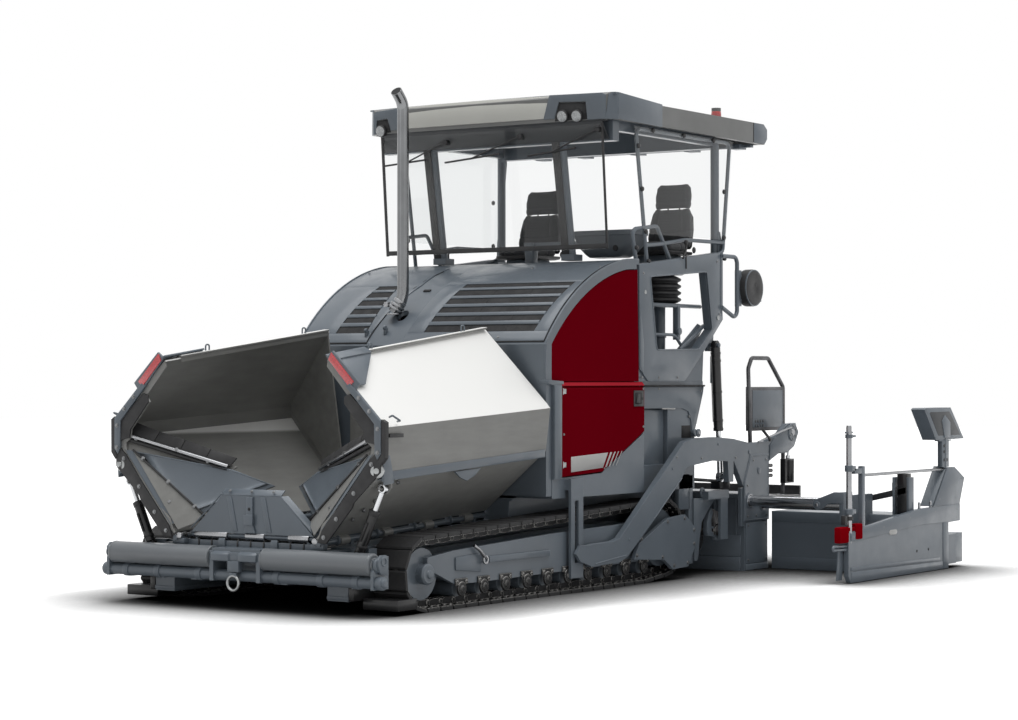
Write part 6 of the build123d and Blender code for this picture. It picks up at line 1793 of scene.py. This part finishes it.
def make_end_gates(side, s):
    body = f"extension_{side}"

    gate = Shape("grey_paint", s)
    upper = ((-1.1, 0.335), (-1.1, 0.395), (-1.304, 0.424), (-2.393, 0.529), (-2.66, 0.53), (-2.975, 0.545),
        (-3.215, 0.543), (-3.215, 0.405), (-2.985, 0.4), (-2.4, 0.402), (-1.3, 0.335))
    riser = ((-2.675, 0.545), (-2.952, 0.858), (-3.112, 0.854), (-3.305, 0.762), (-3.2, 0.545))
    for outline, thickness in ((upper, 0.0045), (((-1.1, 0.128), (-2.8, 0.108), (-2.8, 0.078), (-1.1, 0.098)),
            0.0045), (((-1.105, 0.008), (-2.86, 0.008), (-2.86, 0.07), (-1.105, 0.092)), 0.003),
            (((-2.865, 0.008), (-2.975, 0.008), (-2.975, 0.4), (-2.865, 0.398)), 0.004), (riser, 0.003)):
        gate.plate(outline, "y", GATE_FACE_Y, GATE_FACE_Y + thickness)
    gate.slab([on_gate(-2.945, 0.872), on_gate(-2.655, 0.545), on_gate(-2.625, 0.545, -0.1),
        on_gate(-2.9, 0.872, -0.1)], 0.006 * s)
    tip = ((-0.955, 0.03), (-1.04, 0.03), (-1.085, 0.3), (-0.985, 0.3))
    gate.plate(tip, "y", 2.53, 2.542)
    # Near-black discs: painted shade in two holes.
    gate.use("dark_inside")
    for x, z in ((-2.342, 0.186), (-2.571, 0.189)):
        gate.disc(0.012, 0.002, on_gate(x, z, -0.001), (0, 1, 0), 16)
    gate.use("plate_white").loft([[on_gate(x, z, reach) for x, z in ((-1.8, 0.362), (-1.82, 0.348),
        (-1.93, 0.348), (-1.95, 0.362), (-1.95, 0.375), (-1.93, 0.389), (-1.82, 0.389), (-1.8, 0.375))]
        for reach in (-0.004, 0.0048)])
    piece(f"end_gate_plates_{side}", gate, body, 0.002)

    mast = Shape("bright_steel", s)
    mast.boss(0.0225, 0.92, 0.018, 0.93, (MAST_X, MAST_Y, 0.32), (0, 0, 1), 32)
    mast.disc(0.0125, 1.6, (-1.34, MAST_Y, 0.85), (-1, 0, 0), 20)
    for x, z in ((-2.43, 0.53), (-2.66, 0.53)):
        mast.boss(0.012, 0.05, 0.007, 0.06, (x, MAST_Y, z), (0, 0, 1), 16)
    mast.use("grey_paint")
    for z, height, grip in ((0.885, 0.05, 0.034), (0.545, 0.045, 0.036), (1.15, 0.03, 0.03)):
        mast.turned(((0, grip), (height, grip)), (MAST_X, MAST_Y, z), (0, 0, 1), 28)
        mast.box((-1.2, MAST_Y - 0.018, z + 0.006), (MAST_X, MAST_Y + 0.018, z + height - 0.006))
    mast.box((-1.36, MAST_Y - 0.019, 0.42), (-1.312, MAST_Y + 0.019, 0.922))
    mast.box((-1.335, MAST_Y - 0.018, 0.865), (-1.18, MAST_Y + 0.018, 0.905))
    mast.tube([(-1.05, MAST_Y, 1.195), (-1.17, MAST_Y, 1.195)], 0.008, 0.01)
    mast.tube([(-1.135, MAST_Y, 0.295), (-0.84, MAST_Y, 0.305), (-0.82, MAST_Y, 0.29), (-0.84, MAST_Y, 0.275),
        (-1.135, MAST_Y, 0.27)], 0.011, 0.03)
    mast.use("black_plastic").disc(0.032, 0.03, (MAST_X, MAST_Y, 0.5), (0, 0, 1), 28)
    mast.box((-1.045, MAST_Y - 0.018, 0.47), (-1.005, MAST_Y + 0.018, 0.54))
    mast.use("sensor_red")
    for x0, x1, z0, z1 in ((-1.055, -0.905, 0.328, 0.452), (-1.3, -1.175, 0.345, 0.468)):
        mast.loft([ring_at(z, x0 + cut, x1 - cut, MAST_Y - 0.03 + cut, MAST_Y + 0.03 - cut, 0.012)
            for z, cut in ((z0, 0.006), (z0 + 0.006, 0), (z1 - 0.006, 0), (z1, 0.006))])
    mast.box((-1.18, MAST_Y - 0.018, 0.415), (-1.05, MAST_Y + 0.018, 0.445))
    piece(f"sensor_mast_{side}", mast, body, 0.002)

    tablet = Shape("grey_paint", s)
    rim = ((-2.53, 1.358), (-2.553, 1.372), (-3.03, 1.372), (-3.055, 1.355), (-3.312, 1.112), (-3.3, 1.106),
        (-2.76, 1.104), (-2.742, 1.112))
    tablet.plate(rim, "y", 2.545, 2.586)
    tablet.plate([(x * 0.84 - 0.472, z * 0.8 + 0.248) for x, z in rim], "y", 2.47, 2.55)
    # Dark sheet in the panel's hollow: painted shade.
    tablet.use("dark_paint")
    hollow = [(x * 0.8 - 0.585, z * 0.76 + 0.298) for x, z in rim]
    tablet.plate(hollow, "y", 2.585, 2.588)
    tablet.use("grey_paint").plate(((-2.9, 1.12), (-2.85, 1.26), (-2.91, 1.31), (-3.02, 1.25),
        (-3.02, 1.12)), "y", 2.586, 2.594)
    foot = 2.545, 2.588
    tablet.box((-3.0, foot[0], 0.87), (-2.86, foot[1], 1.095))
    tablet.box((-3.05, foot[0], 1.09), (-2.8, foot[1], 1.1))
    tablet.use("black_plastic")
    for x, z in ((-2.9, 1.05), (-2.9, 1.0), (-2.9, 0.93), (-2.955, 0.93)):
        tablet.boss(0.014, 0.004, 0.008, 0.006, (x, 2.588, z), (0, 1, 0), 18)
    piece(f"control_panel_{side}", tablet, body, 0.002)

    box = Shape("grey_paint", s)
    low_y, high_y = 2.449, 2.556
    box.box((-3.351, low_y, 0.039), (-2.99, high_y, 0.291))
    face = 2.556
    box.plate(((-3.335, 0.07), (-3.335, 0.265), (-3.015, 0.265), (-3.015, 0.07)), "y", face, face + 0.005)
    piece(f"tamper_box_{side}", box, body, 0.008)
    bolts(f"end_gate_bolts_{side}", [(on_gate(x, z, -0.002), (0, 1, 0))
        for x, z in ((-1.15, 0.365), (-1.7, 0.42), (-2.2, 0.47), (-2.7, 0.5), (-3.15, 0.5),
        (-3.15, 0.43))] + [(on_gate(x, z, -0.003), (0, 1, 0)) for x, z in ((-3.25, 0.76), (-3.13, 0.6),
        (-2.8, 0.6), (-3.0, 0.83), (-2.92, 0.05), (-2.92, 0.37))], body, scale=0.7, side=s)


def make_walkway():
    box = Shape("grey_paint")
    box.box((-2.805, 1.062, 1.175), (-2.195, 1.1095, 1.545))
    box.plate(((-2.22, 1.2), (-2.78, 1.2), (-2.78, 1.52), (-2.22, 1.52)), "y", 1.1095, 1.1125)
    box.use("dark_paint")
    for row in range(2):
        for column in range(4):
            box.disc(0.014, 0.003, (-2.27 - column * 0.045, 1.1125, 1.215 + row * 0.04), (0, 1, 0), 16)
    piece("walkway_box", box, "screed")
    steps = Shape("wear_steel")
    steps.box((-2.885, -1.23, 0.599), (-2.185, 1.23, 0.603))
    steps.box((-2.889, -1.232, 0.672), (-2.872, 1.232, 0.682))
    piece("walkway_plate", steps, "screed", 0.001)
    tread = Shape("bright_steel")
    tread.turned(((0, 0.016), (0.002, 0.015), (0.004, 0.01)), (0, 0, 0), (0, 0, 1), 8)
    places = [((-2.25 - row * 0.075, -1.18 + column * 0.0776, 0.602),
        (0, 0, 0.785 if (row + column) % 2 else -0.785)) for row in range(8) for column in range(31)]
    repeats("walkway_tread", tread, places, "screed", "bright_steel", sizes=[(1.5, 0.45, 1)] * len(places))


# Operators


class PAVER_OT_stage(bpy.types.Operator):
    """Set up the camera, the lights and the floor"""

    bl_idname = "paver.stage"
    bl_label = "Set the stage"

    def execute(self, context):
        stage = context.scene.paver_stage
        make_camera(stage)
        make_world(stage)
        make_floor(stage)
        make_lights(stage)
        context.scene.view_settings.view_transform = "Standard"
        return {"FINISHED"}


class PAVER_OT_finishes(bpy.types.Operator):
    """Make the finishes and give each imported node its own"""

    bl_idname = "paver.finishes"
    bl_label = "Paint the frame"

    def execute(self, context):
        make_finishes(context.scene.paver_colours)
        dress_nodes()
        TREES["bolts"] = bolt_tree()
        TREES["repeats"] = repeat_tree()
        return {"FINISHED"}


class PAVER_OT_tracks(bpy.types.Operator):
    """Lay the track shoes, links and rollers"""

    bl_idname = "paver.tracks"
    bl_label = "Tracks"

    def execute(self, context):
        make_tracks(context.scene.paver_sizes)
        return {"FINISHED"}


class PAVER_OT_push_bar(bpy.types.Operator):
    """Fit the push bar's ends, clamps and ring"""

    bl_idname = "paver.push_bar"
    bl_label = "Push bar"

    def execute(self, context):
        make_push_bar()
        return {"FINISHED"}


class PAVER_OT_hopper(bpy.types.Operator):
    """Dress the hopper's wings, flaps, cylinders and apron"""

    bl_idname = "paver.hopper"
    bl_label = "Hopper"

    def execute(self, context):
        for side, s in SIDES:
            make_hopper(side, s)
        make_apron()
        return {"FINISHED"}


class PAVER_OT_bodywork(bpy.types.Operator):
    """Fit the hood's panels and grilles, the doors' fittings and the exhaust"""

    bl_idname = "paver.bodywork"
    bl_label = "Bodywork"

    def execute(self, context):
        make_hood()
        for side, s in SIDES:
            make_doors(side, s)
        make_exhaust()
        return {"FINISHED"}


class PAVER_OT_platform(bpy.types.Operator):
    """Dress the operator's platform"""

    bl_idname = "paver.platform"
    bl_label = "Platform"

    def execute(self, context):
        for side, s in SIDES:
            make_platform(side, s)
        make_reel()
        return {"FINISHED"}


class PAVER_OT_roof(bpy.types.Operator):
    """Fit the roof's cap, visor, lamps, beacon, wipers and glass"""

    bl_idname = "paver.roof"
    bl_label = "Roof"

    def execute(self, context):
        make_roof()
        return {"FINISHED"}


class PAVER_OT_seats(bpy.types.Operator):
    """Fill and sew the seats and build the console"""

    bl_idname = "paver.seats"
    bl_label = "Seats"

    def execute(self, context):
        make_seats()
        make_console()
        return {"FINISHED"}


class PAVER_OT_arms(bpy.types.Operator):
    """Build the fittings of the levelling arms, lift cylinders and augers"""

    bl_idname = "paver.arms"
    bl_label = "Arms"

    def execute(self, context):
        for side, s in SIDES:
            make_arms(side, s)
        for side, s in SIDES:
            make_lift(side, s)
        for side, s in SIDES:
            make_augers(side, s)
        return {"FINISHED"}


class PAVER_OT_screed(bpy.types.Operator):
    """Build the screed's plates, guide tubes, end gates and walkway"""

    bl_idname = "paver.screed"
    bl_label = "Screed"

    def execute(self, context):
        for side, s in SIDES:
            make_screed(side, s)
        for side, s in SIDES:
            make_extensions(side, s)
        for side, s in SIDES:
            make_end_gates(side, s)
        make_walkway()
        return {"FINISHED"}


class PAVER_PT_panel(bpy.types.Panel):
    """Sizes and colours of the paver, with its groups of pieces"""

    bl_idname = "PAVER_PT_panel"
    bl_label = "Paver"
    bl_space_type = "VIEW_3D"
    bl_region_type = "UI"
    bl_category = "Paver"

    def draw(self, context):
        for group in (context.scene.paver_colours, context.scene.paver_sizes, context.scene.paver_stage):
            column = self.layout.column(align=True)
            for key in group.bl_rna.properties.keys():
                if key not in ("rna_type", "name"):
                    column.prop(group, key)
        for operator in OPERATORS:
            self.layout.operator(operator.bl_idname)


OPERATORS = (
    PAVER_OT_stage,
    PAVER_OT_finishes,
    PAVER_OT_tracks,
    PAVER_OT_push_bar,
    PAVER_OT_hopper,
    PAVER_OT_bodywork,
    PAVER_OT_platform,
    PAVER_OT_roof,
    PAVER_OT_seats,
    PAVER_OT_arms,
    PAVER_OT_screed,
)
CLASSES = (PaverColours, PaverSizes, PaverStage, *OPERATORS, PAVER_PT_panel)


def register():
    for made in CLASSES:
        bpy.utils.register_class(made)
    bpy.types.Scene.paver_colours = PointerProperty(type=PaverColours)
    bpy.types.Scene.paver_sizes = PointerProperty(type=PaverSizes)
    bpy.types.Scene.paver_stage = PointerProperty(type=PaverStage)


def unregister():
    del bpy.types.Scene.paver_stage
    del bpy.types.Scene.paver_sizes
    del bpy.types.Scene.paver_colours
    for made in reversed(CLASSES):
        bpy.utils.unregister_class(made)


def main():
    register()
    for operator in OPERATORS:
        group, name = operator.bl_idname.split(".")
        getattr(getattr(bpy.ops, group), name)()


if __name__ == "__main__":
    main()
